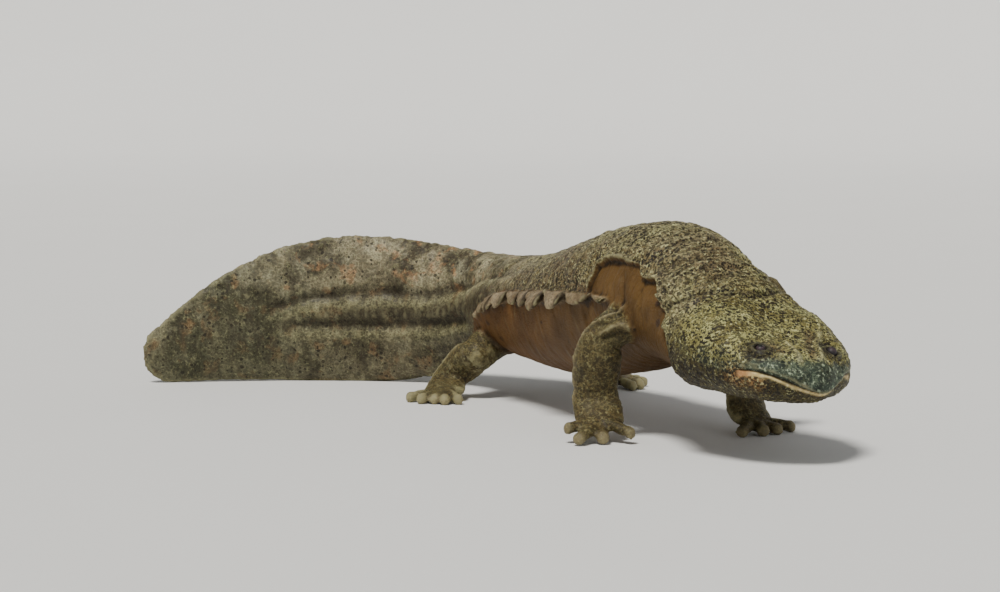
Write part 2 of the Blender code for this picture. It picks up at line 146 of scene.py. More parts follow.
# ---- Curves and the spine ----------------------------------------------------------------------
def through(at, knots, values):
    """A smooth curve through the knots: cubic between each two, its slopes taken from the neighbours."""
    knots, values = np.asarray(knots, float), np.asarray(values, float)
    slopes = np.gradient(values, knots)
    left = np.clip(np.searchsorted(knots, at, side="right") - 1, 0, len(knots) - 2)
    span = knots[left + 1] - knots[left]
    t = (at - knots[left]) / span
    return (
        (1 + 2 * t) * (1 - t) ** 2 * values[left]
        + t * (1 - t) ** 2 * span * slopes[left]
        + t**2 * (3 - 2 * t) * values[left + 1]
        + t**2 * (t - 1) * span * slopes[left + 1]
    )


def rows_through(rows, steps):
    """A smooth curve through a table's rows in so many steps from row to row, and its row numbers."""
    rows = np.array(rows, float)
    last = len(rows) - 1
    number = np.linspace(0, last, last * steps + 1)
    return np.stack([through(number, np.arange(last + 1.0), column) for column in rows.T], axis=1), number


def unit(vectors):
    """Vectors over their lengths."""
    return vectors / np.maximum(np.linalg.norm(vectors, axis=-1, keepdims=True), 1e-12)


def dot(first, second):
    """Sums of products of components."""
    return np.sum(first * second, axis=-1)


def spine_points():
    """The spine's points, one a step: the heading followed at unit speed, less what goes into
    climbing, moved so that the hips stand over their place."""
    at = np.arange(0, LENGTH + SPINE_STEP, SPINE_STEP)
    heading, height = np.radians(through(at, AT, HEADING)), through(at, AT, HEIGHT)
    run = np.sqrt(1 - np.gradient(height, at) ** 2) * SPINE_STEP
    spine = np.stack([np.cumsum(np.cos(heading) * run), np.cumsum(np.sin(heading) * run), height], axis=1)
    spine[:, :2] += HIPS_PLACE - spine[int(round(HIPS_AT / SPINE_STEP)), :2]
    return at, spine


SPINE_AT, SPINE = spine_points()
SPINE_SLOPES = np.gradient(SPINE, SPINE_STEP, axis=0)


def axes(at):
    """Place, left, up and ahead of the body at distances from the snout: the spine's point and its
    tangent, turned about the tangent by the head's lean, which dies out as a sine."""
    at = np.atleast_1d(np.asarray(at, float))
    inside = np.clip(at, 0, LENGTH)
    place, back = (
        np.stack([np.interp(inside, SPINE_AT, column) for column in table.T], axis=1)
        for table in (SPINE, SPINE_SLOPES)
    )
    ahead = -unit(back)
    left = unit(np.cross((0, 0, 1), ahead))
    up = np.cross(ahead, left)
    roll = HEAD_ROLL * np.sin(np.clip(1 - at / ROLL_ENDS_AT, 0, 1) * math.pi / 2)[:, None]
    left, up = left * np.cos(roll) + up * np.sin(roll), up * np.cos(roll) - left * np.sin(roll)
    return place + ahead * np.maximum(-at, 0)[:, None], left, up, ahead


def rounded(distance, length):
    """0 at an end, 1 from length on, and a quarter of an ellipse between."""
    return np.sqrt(np.maximum(0, 1 - (1 - np.clip(distance, 0, length) / length) ** 2))


def section(at):
    """Half width, rise, drop, top and bottom pinch of the body's section."""
    tail = rounded(LENGTH - at, TAIL_ROUNDING)
    wide = through(at, AT, HALF_WIDTH) * rounded(at, SNOUT_LENGTH) * tail
    blunt = rounded(at, SNOUT_BLUNTNESS) * tail
    rise, drop = through(at, AT, RISE) * blunt, through(at, AT, DROP) * blunt
    return wide, rise, drop, through(at, AT, TOP), through(at, AT, BOTTOM)


def on_body(at, turn, proud=0.0):
    """Points of the body's surface, turned round the spine from the left side over the back. Across,
    they follow a cosine raised to the pinch, plus the keel's thickness times its square root, and
    upwards a sine. Proud stands off it."""
    at, turn = np.broadcast_arrays(np.asarray(at, float), np.asarray(turn, float))
    shape = at.shape
    at, turn = at.ravel(), turn.ravel()
    place, left, up, _ = axes(at)
    wide, rise, drop, top, bottom = section(at)
    cosine, sine = np.cos(turn), np.sin(turn)
    keel = np.minimum(KEEL, wide)
    reach = (wide - keel + proud) * np.abs(cosine) ** np.where(sine > 0, top, bottom)
    across = np.copysign(reach + keel * np.sqrt(np.abs(cosine)), cosine)
    upward = (np.where(sine > 0, rise, drop) + proud) * sine
    return (place + left * across[:, None] + up * upward[:, None]).reshape(shape + (3,))


# ---- Closed tubes ------------------------------------------------------------------------------
def tube(rings, first, last):
    """Points and faces of a closed tube: a grid of rings, joined all the way round, and a point at
    each end joined to the ring next to it."""
    count, around = rings.shape[:2]
    points = np.concatenate([rings.reshape(-1, 3), [first, last]])
    ring = np.arange(count * around).reshape(count, around)
    after = np.roll(ring, -1, axis=1)
    quads = np.stack([ring[:-1], after[:-1], after[1:], ring[1:]], axis=-1).reshape(-1, 4)
    start = np.stack([np.full(around, count * around), after[0], ring[0]], axis=-1)
    end = np.stack([np.full(around, count * around + 1), ring[-1], after[-1]], axis=-1)
    return points, quads, np.concatenate([start, end])


def ellipses(path, across, other, wide, thick, around):
    """A ring round each point of a path: its width across times a cosine, and its thickness the other
    way times a sine."""
    turn = np.linspace(0, 2 * math.pi, around, endpoint=False)
    across, other = np.atleast_2d(across), np.atleast_2d(other)
    return (
        path[:, None]
        + across[:, None] * (wide[:, None] * np.cos(turn))[..., None]
        + other[:, None] * (thick[:, None] * np.sin(turn))[..., None]
    )


def mesh_of(name, tubes):
    """One mesh of several closed tubes."""
    points, faces, offset = [], [], 0
    for tube_points, quads, triangles in tubes:
        points.append(tube_points)
        faces += (quads + offset).tolist() + (triangles + offset).tolist()
        offset += len(tube_points)
    mesh = bpy.data.meshes.new(name)
    mesh.from_pydata(np.concatenate(points).tolist(), [], faces)
    return mesh


def body_tube():
    """The body from snout to tail tip: rings of on_body, closer together where the ends round off."""
    snout = SNOUT_LENGTH * (1 - np.cos(np.linspace(0.08, math.pi / 2, 50)))
    middle = np.arange(SNOUT_LENGTH + 0.001, LENGTH - TAIL_ROUNDING, 0.001)
    tip = LENGTH - TAIL_ROUNDING * (1 - np.sin(np.linspace(0.02, 1.5, 20)))
    at = np.concatenate([snout, middle, tip])
    rings = on_body(at[:, None], np.linspace(0, 2 * math.pi, 200, endpoint=False)[None, :])
    return tube(rings, axes(0.0)[0][0], axes(LENGTH)[0][0])


def fold_lobes(at, side):
    """How much a side fold swells, the turn its lobes have come to, and how far out each is: a
    cosine's hump raised to a low power, its turns a little uneven, smaller beads at the rear end."""
    share = np.clip((at - FOLD_START) / (FOLD_END - FOLD_START), 0.004, 0.996)
    count = (at - FOLD_START) / LOBE_LENGTH
    count = count + np.maximum(at - BEADS_AT, 0) * (1 / BEAD_LENGTH - 1 / LOBE_LENGTH)
    phase = 2 * math.pi * count + 0.9 * np.sin(at * 61 + side) + 0.5 * np.sin(at * 143)
    beads = step(at, 0.270, 0.290)
    swell = np.sin(math.pi * share) ** 0.40 * (1 + 0.22 * np.sin(at * 78 + side)) * (1 - 0.34 * beads)
    return swell, phase, (0.5 - 0.5 * np.cos(phase)) ** 0.7


def fold_tube(side):
    """The pleated fold of a flank. Its section is a tongue: an ellipse stretched from inside the
    flank to the edge, thicker at the edge, which hangs down in lobes with narrow clefts between."""
    at = np.linspace(FOLD_START - 0.002, FOLD_END + 0.002, 520)
    swell, phase, lobe = fold_lobes(at, side)
    _, left, up, ahead = axes(at)
    grows_from = through(at, np.linspace(FOLD_START, FOLD_END, len(FOLD_TURNS)), FOLD_TURNS)
    root = on_body(at, grows_from if side > 0 else math.pi - grows_from, -0.003)
    droop = PLEAT_SWING * swell * (3.4 * lobe - 1.2)
    reach = FOLD_REACH * swell * (0.26 + 0.78 * lobe)
    thick = FOLD_THICKNESS * (0.40 + 0.60 * swell) * (0.48 + 0.80 * lobe)
    turn = np.linspace(0, 2 * math.pi, 48, endpoint=False)
    along = 0.5 - 0.5 * np.cos(turn)
    away = along * (reach[:, None] + 0.003)
    lift = along**2.2 * -droop[:, None] + 0.0008 * along
    lift = lift + np.sin(turn) * (0.58 + 0.22 * along) * thick[:, None]
    shift = along**2 * (0.0026 * swell * np.sin(phase) + 0.0050 * swell * lobe)[:, None]
    rings = root[:, None] + left[:, None] * side * away[..., None] + up[:, None] * lift[..., None]
    rings = rings + ahead[:, None] * shift[..., None]
    return tube(rings, rings[0].mean(axis=0), rings[-1].mean(axis=0))


# ---- Legs --------------------------------------------------------------------------------------
def hand_ways(limb):
    """Level ways at a leg: ahead and outwards at its root, and the way its hand points."""
    side, station, _, degrees, _ = limb
    ahead = unit(axes(station)[3][0] * (1, 1, 0))
    out = np.cross((0, 0, 1), ahead) * side
    turn = math.radians(degrees)
    return ahead, out, ahead * math.cos(turn) + out * math.sin(turn)


def limb_path(limb):
    """A leg's middles along a smooth curve through its rows, the way it runs, across and through it,
    half widths, half thicknesses and row numbers. Across is level and square to the hand's way."""
    ahead, out, heading = hand_ways(limb)
    rows = np.array(limb[2])
    middles = axes(limb[1])[0][0] * (1, 1, 0) + rows[:, :1] * ahead + rows[:, 1:2] * out
    middles = middles + rows[:, 2:3] * (0, 0, 1)
    curve, row = rows_through(np.column_stack([middles, rows[:, 3:]]), LIMB_STEPS)
    path = curve[:, :3]
    runs = unit(np.gradient(path, axis=0))
    across = np.cross((0, 0, 1), heading)
    across = unit(across - runs * dot(runs, across)[:, None])
    return path, runs, across, np.cross(runs, across), curve[:, 3], curve[:, 4], row


def limb_tube(limb):
    """A leg down to the knuckles: elliptic rings along its path, its last ones rounding off to a
    point as a quarter of an ellipse."""
    path, runs, across, other, wide, thick, row = limb_path(limb)
    end = np.sin(np.linspace(0, math.pi / 2, 12))[1:-1]
    path = np.concatenate([path, path[-1] + runs[-1] * 0.003 * end[:, None]])
    close = np.concatenate([np.ones(len(row)), np.sqrt(1 - end**2)])
    keep = np.minimum(np.arange(len(path)), len(row) - 1)
    rings = ellipses(path, across[keep], other[keep], wide[keep] * close, thick[keep] * close, 56)
    return tube(rings, path[0], path[-1] + runs[-1] * 0.0003)


def digit_paths(limb):
    """Where each digit starts, the way it points, its length and the height of its tip."""
    _, out, heading = hand_ways(limb)
    path, _, _, _, wide, _, _ = limb_path(limb)
    sideways = np.cross((0, 0, 1), heading)
    turning = 1 if np.cross(heading, -out)[2] > 0 else -1
    found = []
    for degrees, length, tip_height in limb[4]:
        turn = math.radians(degrees) * turning
        way = heading * math.cos(turn) + sideways * math.sin(turn)
        found.append((path[-1] + way * wide[-1] * abs(math.sin(turn)), way, length, tip_height))
    return found


def digit_tube(start, way, length, tip_height, slim):
    """A finger or toe: elliptic rings along a line that sinks to the floor, waisted between its
    joints and swollen at its tip, which rounds off as a quarter of an ellipse. Slim narrows it."""
    buried, tip = 0.006, 0.86
    share = np.concatenate([np.linspace(0, tip, 30), tip + (1 - tip) * np.sin(np.linspace(0.1, 1.5, 12))])
    round_off = np.sqrt(np.maximum(1 - np.clip((share - tip) / (1 - tip), 0, 1) ** 2, 0))
    swell = through(share, (0, 0.35, 0.52, 0.68, tip, 1), (1.02, 0.95, 1.02, 0.93, 1.04, 1.0)) * round_off
    middle = start + way * (share * (length + buried) - buried)[:, None]
    middle = middle - np.array((0, 0, 1)) * ((start[2] - tip_height) * share)[:, None]
    wide, thick = FINGER_HALF_WIDTH * slim * swell, FINGER_HALF_THICKNESS * swell
    rings = ellipses(middle, np.cross((0, 0, 1), way), (0, 0, 1), wide, thick, 28)
    return tube(rings, middle[0], middle[-1] + way * 0.0002)


# ---- Working on a mesh's points ----------------------------------------------------------------
def table_of(items, name, width, kind=np.float32):
    """A row of numbers for each item of a mesh."""
    values = np.empty(len(items) * width, kind)
    items.foreach_get(name, values)
    return values.reshape(-1, width)


def points_of(mesh):
    """Where a mesh's points lie."""
    return table_of(mesh.vertices, "co", 3).astype(float)


def normals_of(mesh):
    """Which way a mesh faces at its points."""
    return table_of(mesh.vertex_normals, "vector", 3).astype(float)


def edges_of(mesh):
    """The two points of each edge."""
    return table_of(mesh.edges, "vertices", 2, np.int32)


def set_points(mesh, points):
    """Moves a mesh's points."""
    mesh.vertices.foreach_set("co", points.astype(np.float32).ravel())
    mesh.update()


def note(mesh, name, values):
    """Keeps a number per point with the mesh, for the materials to read."""
    made = mesh.attributes.new(name, "FLOAT", "POINT")
    made.data.foreach_set("value", values.astype(np.float32))


def neighbours_mean(values, edges):
    """The mean of each point's neighbours, over the mesh's edges."""
    first, second = edges.T
    size = len(values)
    count = np.maximum(np.bincount(edges.ravel(), minlength=size), 1)
    total = [
        np.bincount(first, column[second], size) + np.bincount(second, column[first], size)
        for column in values.reshape(size, -1).T
    ]
    return (np.stack(total, axis=1) / count[:, None]).reshape(values.shape)


def relax(points, edges, amount, rounds):
    """Each point moves towards the mean of its neighbours and then nearly as far back out, several
    times over, which irons out the grain and keeps the bulk."""
    amount = np.broadcast_to(amount, len(points))[:, None]
    for number in range(rounds * 2):
        towards = amount * (1.0 if number % 2 == 0 else -1.02)
        points = points + (neighbours_mean(points, edges) - points) * towards
    return points


def with_modifier(mesh, kind, **settings):
    """A new mesh: this one with a modifier applied."""
    draft = bpy.data.objects.new("draft", mesh)
    bpy.context.scene.collection.objects.link(draft)
    modifier = draft.modifiers.new(kind, kind)
    for name, value in settings.items():
        setattr(modifier, name, value)
    bpy.context.view_layer.update()
    graph = bpy.context.evaluated_depsgraph_get()
    made = bpy.data.meshes.new_from_object(draft.evaluated_get(graph))
    bpy.data.objects.remove(draft)
    return made


def refine(mesh, chosen):
    """Cuts every edge between chosen points in two, with the faces between them."""
    form = bmesh.new()
    form.from_mesh(mesh)
    flags = chosen.tolist()
    edges = [edge for edge in form.edges if flags[edge.verts[0].index] and flags[edge.verts[1].index]]
    bmesh.ops.subdivide_edges(form, edges=edges, cuts=1, use_grid_fill=True)
    form.to_mesh(mesh)
    form.free()


# ---- Numbers from places -----------------------------------------------------------------------
def step(value, low, high):
    """0 below low, 1 above high, and a smooth cubic between."""
    t = np.clip((value - low) / (high - low), 0, 1)
    return t * t * (3 - 2 * t)


def bell(value, width):
    """1 at zero, falling off as a Gaussian of that width."""
    return np.exp(-((value / width) ** 2))


def lattice(*columns):
    """A place for each point from three columns or numbers, for a noise to read."""
    return np.stack(np.broadcast_arrays(*columns), axis=1)


def hashed(cell, seed):
    """A number from 0 to 1 for each cell of a lattice: its whole-number place stirred with primes."""
    x, y, z = (cell[..., k].astype(np.int64) for k in range(3))
    mixed = (x * 374761393 + y * 668265263 + z * 1274126177 + seed * 974634777) & 0xFFFFFFFF
    mixed = ((mixed ^ (mixed >> 13)) * 1274126177) & 0xFFFFFFFF
    mixed = ((mixed ^ (mixed >> 15)) * 668265263) & 0xFFFFFFFF
    return (mixed ^ (mixed >> 16)) / 0xFFFFFFFF


def noise(places, seed=0):
    """Smooth random numbers from -1 to 1: random numbers on a lattice of unit cells, blended between
    the eight corners of a cell by smooth cubics."""
    cell = np.floor(places)
    t = places - cell
    t = t * t * (3 - 2 * t)
    total = 0
    for corner in np.ndindex(2, 2, 2):
        total = total + np.prod(np.where(corner, t, 1 - t), axis=-1) * hashed(cell + corner, seed)
    return 2 * total - 1


def layered(places, layers, seed=0):
    """Noise over noise, each layer half as strong and twice as fine."""
    return sum(noise(places * 2**k, seed + k) / 2**k for k in range(layers))


def creases(places, seed=0):
    """Sharp furrows between soft ridges, from 0 to 1: one less the size of a noise."""
    return np.clip(1 - 3.2 * np.abs(noise(places, seed)), 0, 1)


def pimples(places, seed=0):
    """Rounded pimples, from 0 to 1: the nearest of one random point in each unit cell, its distance
    turned into a dome, with a random size for each."""
    cell = np.floor(places)
    best = np.zeros(len(places))
    for shift in np.ndindex(3, 3, 3):
        near = cell + np.array(shift) - 1
        jitter = np.stack([hashed(near, seed + k) for k in range(3)], axis=-1)
        away = np.linalg.norm(near + 0.15 + 0.7 * jitter - places, axis=-1)
        size = 0.30 + 0.35 * hashed(near, seed + 3)
        best = np.maximum(best, np.clip(1 - (away / size) ** 2, 0, 1) * size / 0.65)
    return best


# ---- Places on the body ------------------------------------------------------------------------
def nearest_of(points, line):
    """The number of a line's point that lies nearest to each point."""
    nearest = np.empty(len(points), int)
    size = dot(line, line)
    for start in range(0, len(points), 20_000):
        part = slice(start, start + 20_000)
        nearest[part] = np.argmin(size - 2 * points[part] @ line.T, axis=1)
    return nearest


def body_places(points):
    """Distance from the snout, and offsets to the left and up, of points: the nearest point of the
    spine, corrected by what lies along its tangent."""
    nearest = nearest_of(points, SPINE)
    place, _, _, ahead = axes(SPINE_AT[nearest])
    at = SPINE_AT[nearest] - dot(points - place, ahead)
    place, left, up, _ = axes(at)
    return at, dot(points - place, left), dot(points - place, up)


def body_turn(at, left, up):
    """How far round the spine a point lies, from the left side over the back, in degrees from -90 to
    270: the turn at which on_body has the same slope of up against left."""
    wide, rise, drop, top, bottom = section(np.clip(at, 0.0005, LENGTH - 0.0005))
    across = np.copysign((np.abs(left) / wide) ** (1 / np.where(up > 0, top, bottom)), left)
    turn = np.degrees(np.arctan2(up / np.where(up > 0, rise, drop), across))
    return np.where(turn < -90, turn + 360, turn)


def outside(at, left, up):
    """How far points lie outside the plain body, along the ray from the spine."""
    inner = np.clip(at, 0.0005, LENGTH - 0.0005)
    place, aside, above, _ = axes(inner)
    body = on_body(inner, np.radians(body_turn(at, left, up))) - place
    return np.hypot(left, up) - np.hypot(dot(body, aside), dot(body, above))


def limb_places(points, limb):
    """Row number of the nearest point of a leg's path, how far out points lie in units of the leg's
    own section, and their angle round it, 0 across and 90 degrees through."""
    path, runs, across, other, wide, thick, row = limb_path(limb)
    nearest = nearest_of(points, path)
    gap = points - path[nearest]
    a = dot(gap, across[nearest]) / wide[nearest]
    b = dot(gap, other[nearest]) / thick[nearest]
    beyond = np.where(nearest == len(path) - 1, dot(gap, runs[-1]) / 0.004, 0)
    return row[nearest], np.sqrt(a**2 + b**2 + np.maximum(beyond, 0) ** 2), np.arctan2(b, a)


def digit_places(points, limb):
    """How near points are to a leg's digits, in units of a digit's half width, and how far along the
    digit they lie, 0 at the knuckle and 1 at the tip."""
    near, share = np.full(len(points), 99.0), np.zeros(len(points))
    for start, way, length, tip_height in digit_paths(limb):
        line = way * length + np.array((0, 0, tip_height - start[2]))
        along = np.clip((points - start) @ line / dot(line, line), 0, 1)
        away = np.linalg.norm(points - start - along[:, None] * line, axis=1) / FINGER_HALF_WIDTH
        share = np.where(away < near, along, share)
        near = np.minimum(near, away)
    return near, share


# ---- Strokes and spots, their widths in millimetres ----------------------------------------------
def stroke(points, line, width, taper=0.15):
    """A ridge or groove of height 1 along a line of points: a bell across it, fading out at its ends
    over the taper's share of its length."""
    low, high = line.min(axis=0) - 0.012, line.max(axis=0) + 0.012
    near = np.flatnonzero(np.all((points > low) & (points < high), axis=1))
    nearest = nearest_of(points[near], line)
    share = nearest / (len(line) - 1)
    away = np.linalg.norm(points[near] - line[nearest], axis=1)
    height = np.zeros(len(points))
    height[near] = bell(away, width * MM) * step(share, 0, taper) * step(1 - share, 0, taper)
    return height


def body_line(corners, mirrored=False):
    """A smooth line on the body through corners given as millimetres from the snout and degrees."""
    at, turn = rows_through(corners, 24)[0].T
    return on_body(at * MM, np.radians(180 - turn if mirrored else turn))


def both(points, corners, width, taper=0.15):
    """A stroke on both flanks."""
    return np.maximum(*(stroke(points, body_line(corners, mirrored), width, taper) for mirrored in (0, 1)))


def strokes(points, lines, width):
    """The strongest of several strokes at each point."""
    return np.maximum.reduce([stroke(points, body_line(corners), width) for corners in lines])


def arm_stroke(points, corners, width):
    """A stroke on the right arm, its corners given as row numbers and angles round the arm."""
    path, _, across, other, wide, thick, _ = limb_path(LIMBS[0])
    row, angle = rows_through(corners, 16)[0].T
    near = np.rint(row * LIMB_STEPS).astype(int)
    aside, through_it = wide[near] * np.cos(angle), thick[near] * np.sin(angle)
    line = path[near] + across[near] * aside[:, None] + other[near] * through_it[:, None]
    return stroke(points, line, width, 0.2)


def spot(points, at, turn, width):
    """A bell round a place on the body, given in millimetres and degrees."""
    return bell(np.linalg.norm(points - on_body(at * MM, math.radians(turn)), axis=1), width * MM)


# ---- Features of the skin ----------------------------------------------------------------------
# Lines are given as millimetres from the snout and degrees round from the left side over the back,
# on the right flank; the left flank mirrors them.
NAPE_CREASE = ((65, 84), (69, 92), (73, 105), (77, 120), (79, 134), (84, 150), (86, 163), (82, 178))
THROAT_CREASE = ((81, 178), (74, 190), (68, 212), (65, 240), (64, 272))
NECK_CREST = ((90, 74), (94, 92), (93, 116), (97, 140), (97, 150))
NECK_CREASES = (
    ((98, 70), (102, 92), (101, 116), (106, 142)),
    ((82, 84), (85, 100), (87, 122), (93, 142), (94, 156)),
    ((88, 78), (91, 98), (92, 118), (98, 136)),
    ((112, 66), (114, 92), (112, 120), (115, 144)),
)
# The border of the speckled skin over the bare chest and flank.
BORDER = (
    (60, 250), (65.5, 206), (67, 192), (72.5, 183), (79, 177), (83, 171), (88, 163), (96, 158), (99, 152),
    (104, 147), (112, 154), (118, 146), (128, 148), (141, 150), (147, 155), (151, 168), (155, 181),
    (182, 178), (211, 170), (249, 162), (268, 162), (284, 172), (303, 184), (332, 215), (345, 275),
)
BORDER_AT, BORDER_TURN = np.array(BORDER).T * ((MM,), (1,))
ARCH = (
    (152, 176), (150, 165), (147, 154), (141, 150), (128, 148), (118, 146), (112, 153), (104, 147),
    (99, 152), (95, 158), (87, 164),
)
CHEST_GROOVE = ((127, 156), (124, 166), (121, 180), (119, 196))
ARMPIT_GROOVE = ((112, 160), (109, 172), (106, 186), (104, 200))
UPPER_TAIL_GROOVE = ((250, 140), (287, 137), (330, 150), (366, 163), (388, 164), (445, 166), (470, 168))
LOWER_TAIL_GROOVE = ((322, 188), (345, 190), (388, 190), (436, 188), (470, 184))
TAIL_BAND = ((268, 158), (300, 168), (345, 175), (390, 177), (440, 177))
BROW = ((30, 118), (24, 124), (17, 122), (11, 116), (6, 110))
EYE_CREASE = ((27, 124), (22, 119), (19, 115), (14, 117), (9.5, 120))
# Lines in the middle of the head, which aren't mirrored.
CROWN_HOLLOW = ((22, 90), (36, 90), (52, 90), (66, 90))
SNOUT_RIDGES = (
    ((4, 96), (5.5, 95), (9.5, 93), (18, 91.5), (29, 90)),
    ((5, 86), (6.5, 85), (14, 84), (21, 83), (30, 79), (38, 74)),
)
SNOUT_TROUGHS = (
    ((6, 90), (10, 89), (20, 87.5), (30, 84.5), (40, 81)),
    ((9, 102), (14, 101), (20, 100), (26, 99)),
)
# Lines on the right arm: row number and angle round it.
ARM_CREST = ((0.80, 2.25), (1.00, 2.40), (1.35, 2.64), (1.70, 2.84), (1.95, 2.95), (2.40, 3.05))
ARM_HOLLOW = ((0.90, 1.95), (1.20, 2.05), (1.50, 2.22), (1.80, 2.40), (2.10, 2.55))
ARM_FOLD = ((1.00, 1.15), (1.12, 1.40), (1.30, 1.75), (1.50, 1.85), (1.75, 1.95), (2.00, 2.10))
ARM_UNDER = ((1.25, 1.05), (1.45, 1.40), (1.70, 1.60), (1.95, 1.75))

MOUTH_AT = np.array((0, 3, 6, 10, 14, 19, 30)) * MM
MOUTH_HEIGHT = np.array((-1.4, 0.8, 2.2, 3.0, 2.9, 2.2, 1.8)) * MM
LIP_WIDTH = np.array((2.4, 1.9, 1.5, 2.1, 2.8, 3.4, 2.0)) * MM
MOUTH_DIP = 4.8 * MM  # the mouth dips under the snout's tip
MOUTH_CORNER = 0.0195

# Height in millimetres, line, width in millimetres, share that fades out at an end.
FLANK_FORMS = (
    (0.7, BROW, 2.5, 0.15),
    (-0.8, EYE_CREASE, 1.2, 0.15),
    (-2.7, NAPE_CREASE, 2.3, 0.15),
    (0.7, [(at - 5, turn) for at, turn in NAPE_CREASE[:-1]], 3.5, 0.15),
    (-1.9, THROAT_CREASE, 2.8, 0.05),
    (1.3, NECK_CREST, 3.4, 0.15),
    (-1.1, CHEST_GROOVE, 1.2, 0.15),
    (-0.8, ARMPIT_GROOVE, 1.6, 0.15),
    (-2.4, UPPER_TAIL_GROOVE, 3.6, 0.16),
    (-2.1, LOWER_TAIL_GROOVE, 3.2, 0.22),
    (0.9, TAIL_BAND, 5.0, 0.20),
    *((-0.75, crease, 1.7, 0.15) for crease in NECK_CREASES),
)
ARM_FORMS = ((1.3, ARM_CREST, 1.1), (-1.2, ARM_HOLLOW, 2.2), (1.4, ARM_FOLD, 1.8), (-1.2, ARM_UNDER, 1.8))
# Lumps of jaw, crown, cheek and throat, and the nostrils: height in millimetres, millimetres from the
# snout, degrees round, width in millimetres.
LUMPS = (
    (1.6, 32, 56, 11), (1.6, 34, 122, 12), (2.0, 49, 63, 9), (1.0, 49, 118, 9), (0.9, 56, 150, 10),
    (0.9, 56, 30, 10), (1.2, 76, 166, 8), (1.2, 76, 14, 8), (3.0, 60, 212, 13), (3.0, 60, -32, 13),
    (-0.7, 2.2, 62, 0.7), (-0.7, 2.2, 118, 0.7),
)


class Places:
    """Where each point of the skin lies: on the body, on a leg, on a side fold and at the mouth."""

    def __init__(self, points):
        self.points = points
        self.at, self.left, self.up = body_places(points)
        self.turn = body_turn(self.at, self.left, self.up)
        self.side = np.where(self.turn > 90, self.turn, 180 - self.turn)
        wide, rise, drop, _, _ = section(np.clip(self.at, 0.0005, LENGTH))
        size = (2 * wide + rise + drop) / 4
        self.arc = np.radians(self.turn) * size
        self.warp = 0.002 * layered(points / 0.012, 2, 11)
        self.out = outside(self.at, self.left, self.up)
        self.leg, self.row, self.angle, self.digit = np.zeros((4, len(points)))
        self.limbs = []
        for limb in LIMBS:
            row, radial, angle = limb_places(points, limb)
            near, share = digit_places(points, limb)
            on_leg = step(self.out, 0.0004, 0.0030) * step(1.9 - radial, 0, 0.5)
            on_digit = step(2.0 - near, 0, 0.5)
            on = np.maximum(on_leg, on_digit)
            self.row = np.where(on > self.leg, row, self.row)
            self.angle = np.where(on > self.leg, angle, self.angle)
            self.digit = np.where(on_digit > 0.5, share, self.digit)
            self.leg = np.maximum(self.leg, on)
            self.limbs.append(on)
        in_reach = (self.at > FOLD_START - 0.003) & (self.at < FOLD_END + 0.003)
        self.fold = step(self.out, 0.0002, 0.0018) * (1 - self.leg) * in_reach
        self.body = (1 - self.leg) * (1 - self.fold)
        over = np.radians(np.interp(self.at, BORDER_AT, BORDER_TURN) - self.side) * size
        over += 0.0006 * noise(points / 0.0026, 3) * step(self.at, 0.07, 0.09)
        bordered = (self.at >= BORDER_AT[0]) & (self.at <= BORDER_AT[-1])
        self.over_border = np.where(bordered, over, 0.02)
        beyond = self.left - 0.007
        dip = MOUTH_DIP * bell(beyond, np.where(beyond > 0, 0.0170, 0.0105))
        dip *= step(np.where(beyond > 0, 0.013, 0.010) - self.at, 0, 0.006)
        self.over_mouth = self.up - np.interp(self.at, MOUTH_AT, MOUTH_HEIGHT) + dip
        self.mouth = step(MOUTH_CORNER - self.at, 0, 0.003) * self.body


def broad_forms(p):
    """How far the broad forms stand out of the plain tubes: the sum of lumps, strokes and bands over
    jaw, brows, neck, throat, the edge of the speckled skin, the tail's grooves and the lips."""
    points = p.points
    rise = sum(height * spot(points, *place) for height, *place in LUMPS)
    rise += sum(height * both(points, *line) for height, *line in FLANK_FORMS)
    rise -= 1.0 * stroke(points, body_line(CROWN_HOLLOW), 5.0)
    rise += 1.2 * strokes(points, SNOUT_RIDGES, 1.3) - 0.6 * strokes(points, SNOUT_TROUGHS, 2.2)
    ruffle = (0.85 + 1.1 * noise(points / 0.0030, 5)) * step(p.over_border, -0.001, 0.0005)
    rise += 1.5 * both(points, ARCH, 1.9, 0.05) * ruffle
    chest = step(-p.over_border, 0, 0.0015) * step(p.at, 0.066, 0.075) * step(0.160 - p.at, 0, 0.010)
    rise -= 2.3 * chest * p.body * (0.25 + 0.75 * bell(-p.over_border, 0.009))
    rise -= 2.4 * bell(p.at - 0.007, 0.012) * step(p.left, 0.006, 0.018)
    arms = sum(height * arm_stroke(points, *line) for height, *line in ARM_FORMS)
    arms -= 3.0 * bell(p.row - 0.95, 0.55) * step(p.angle, 1.9, 2.4) * p.limbs[0]
    arms -= 2.4 * bell(p.row - 1.7, 0.9) * p.limbs[1]
    return (rise * p.body + arms + lips(p)) * MM


def lips(p):
    """The upper lip hangs over as a bell, the mouth is a narrow bell-shaped groove under it, and the
    lower lip is a band set back behind the upper one."""
    over, width = p.over_mouth, np.interp(p.at, MOUTH_AT, LIP_WIDTH)
    rise = 0.9 * bell(over - 0.0021, 0.0020) - 1.5 * bell(over - 0.0001, 0.00055)
    return (rise - 0.45 * step(-over, 0, 0.0006) * step(over + width, -0.0008, 0.0008)) * p.mouth


def from_gaze(points, centre, gaze):
    """How far points lie from the line along which an eye looks, and how far along it."""
    gap = points - centre
    depth = gap @ gaze
    return np.linalg.norm(gap - depth[:, None] * gaze, axis=1), depth


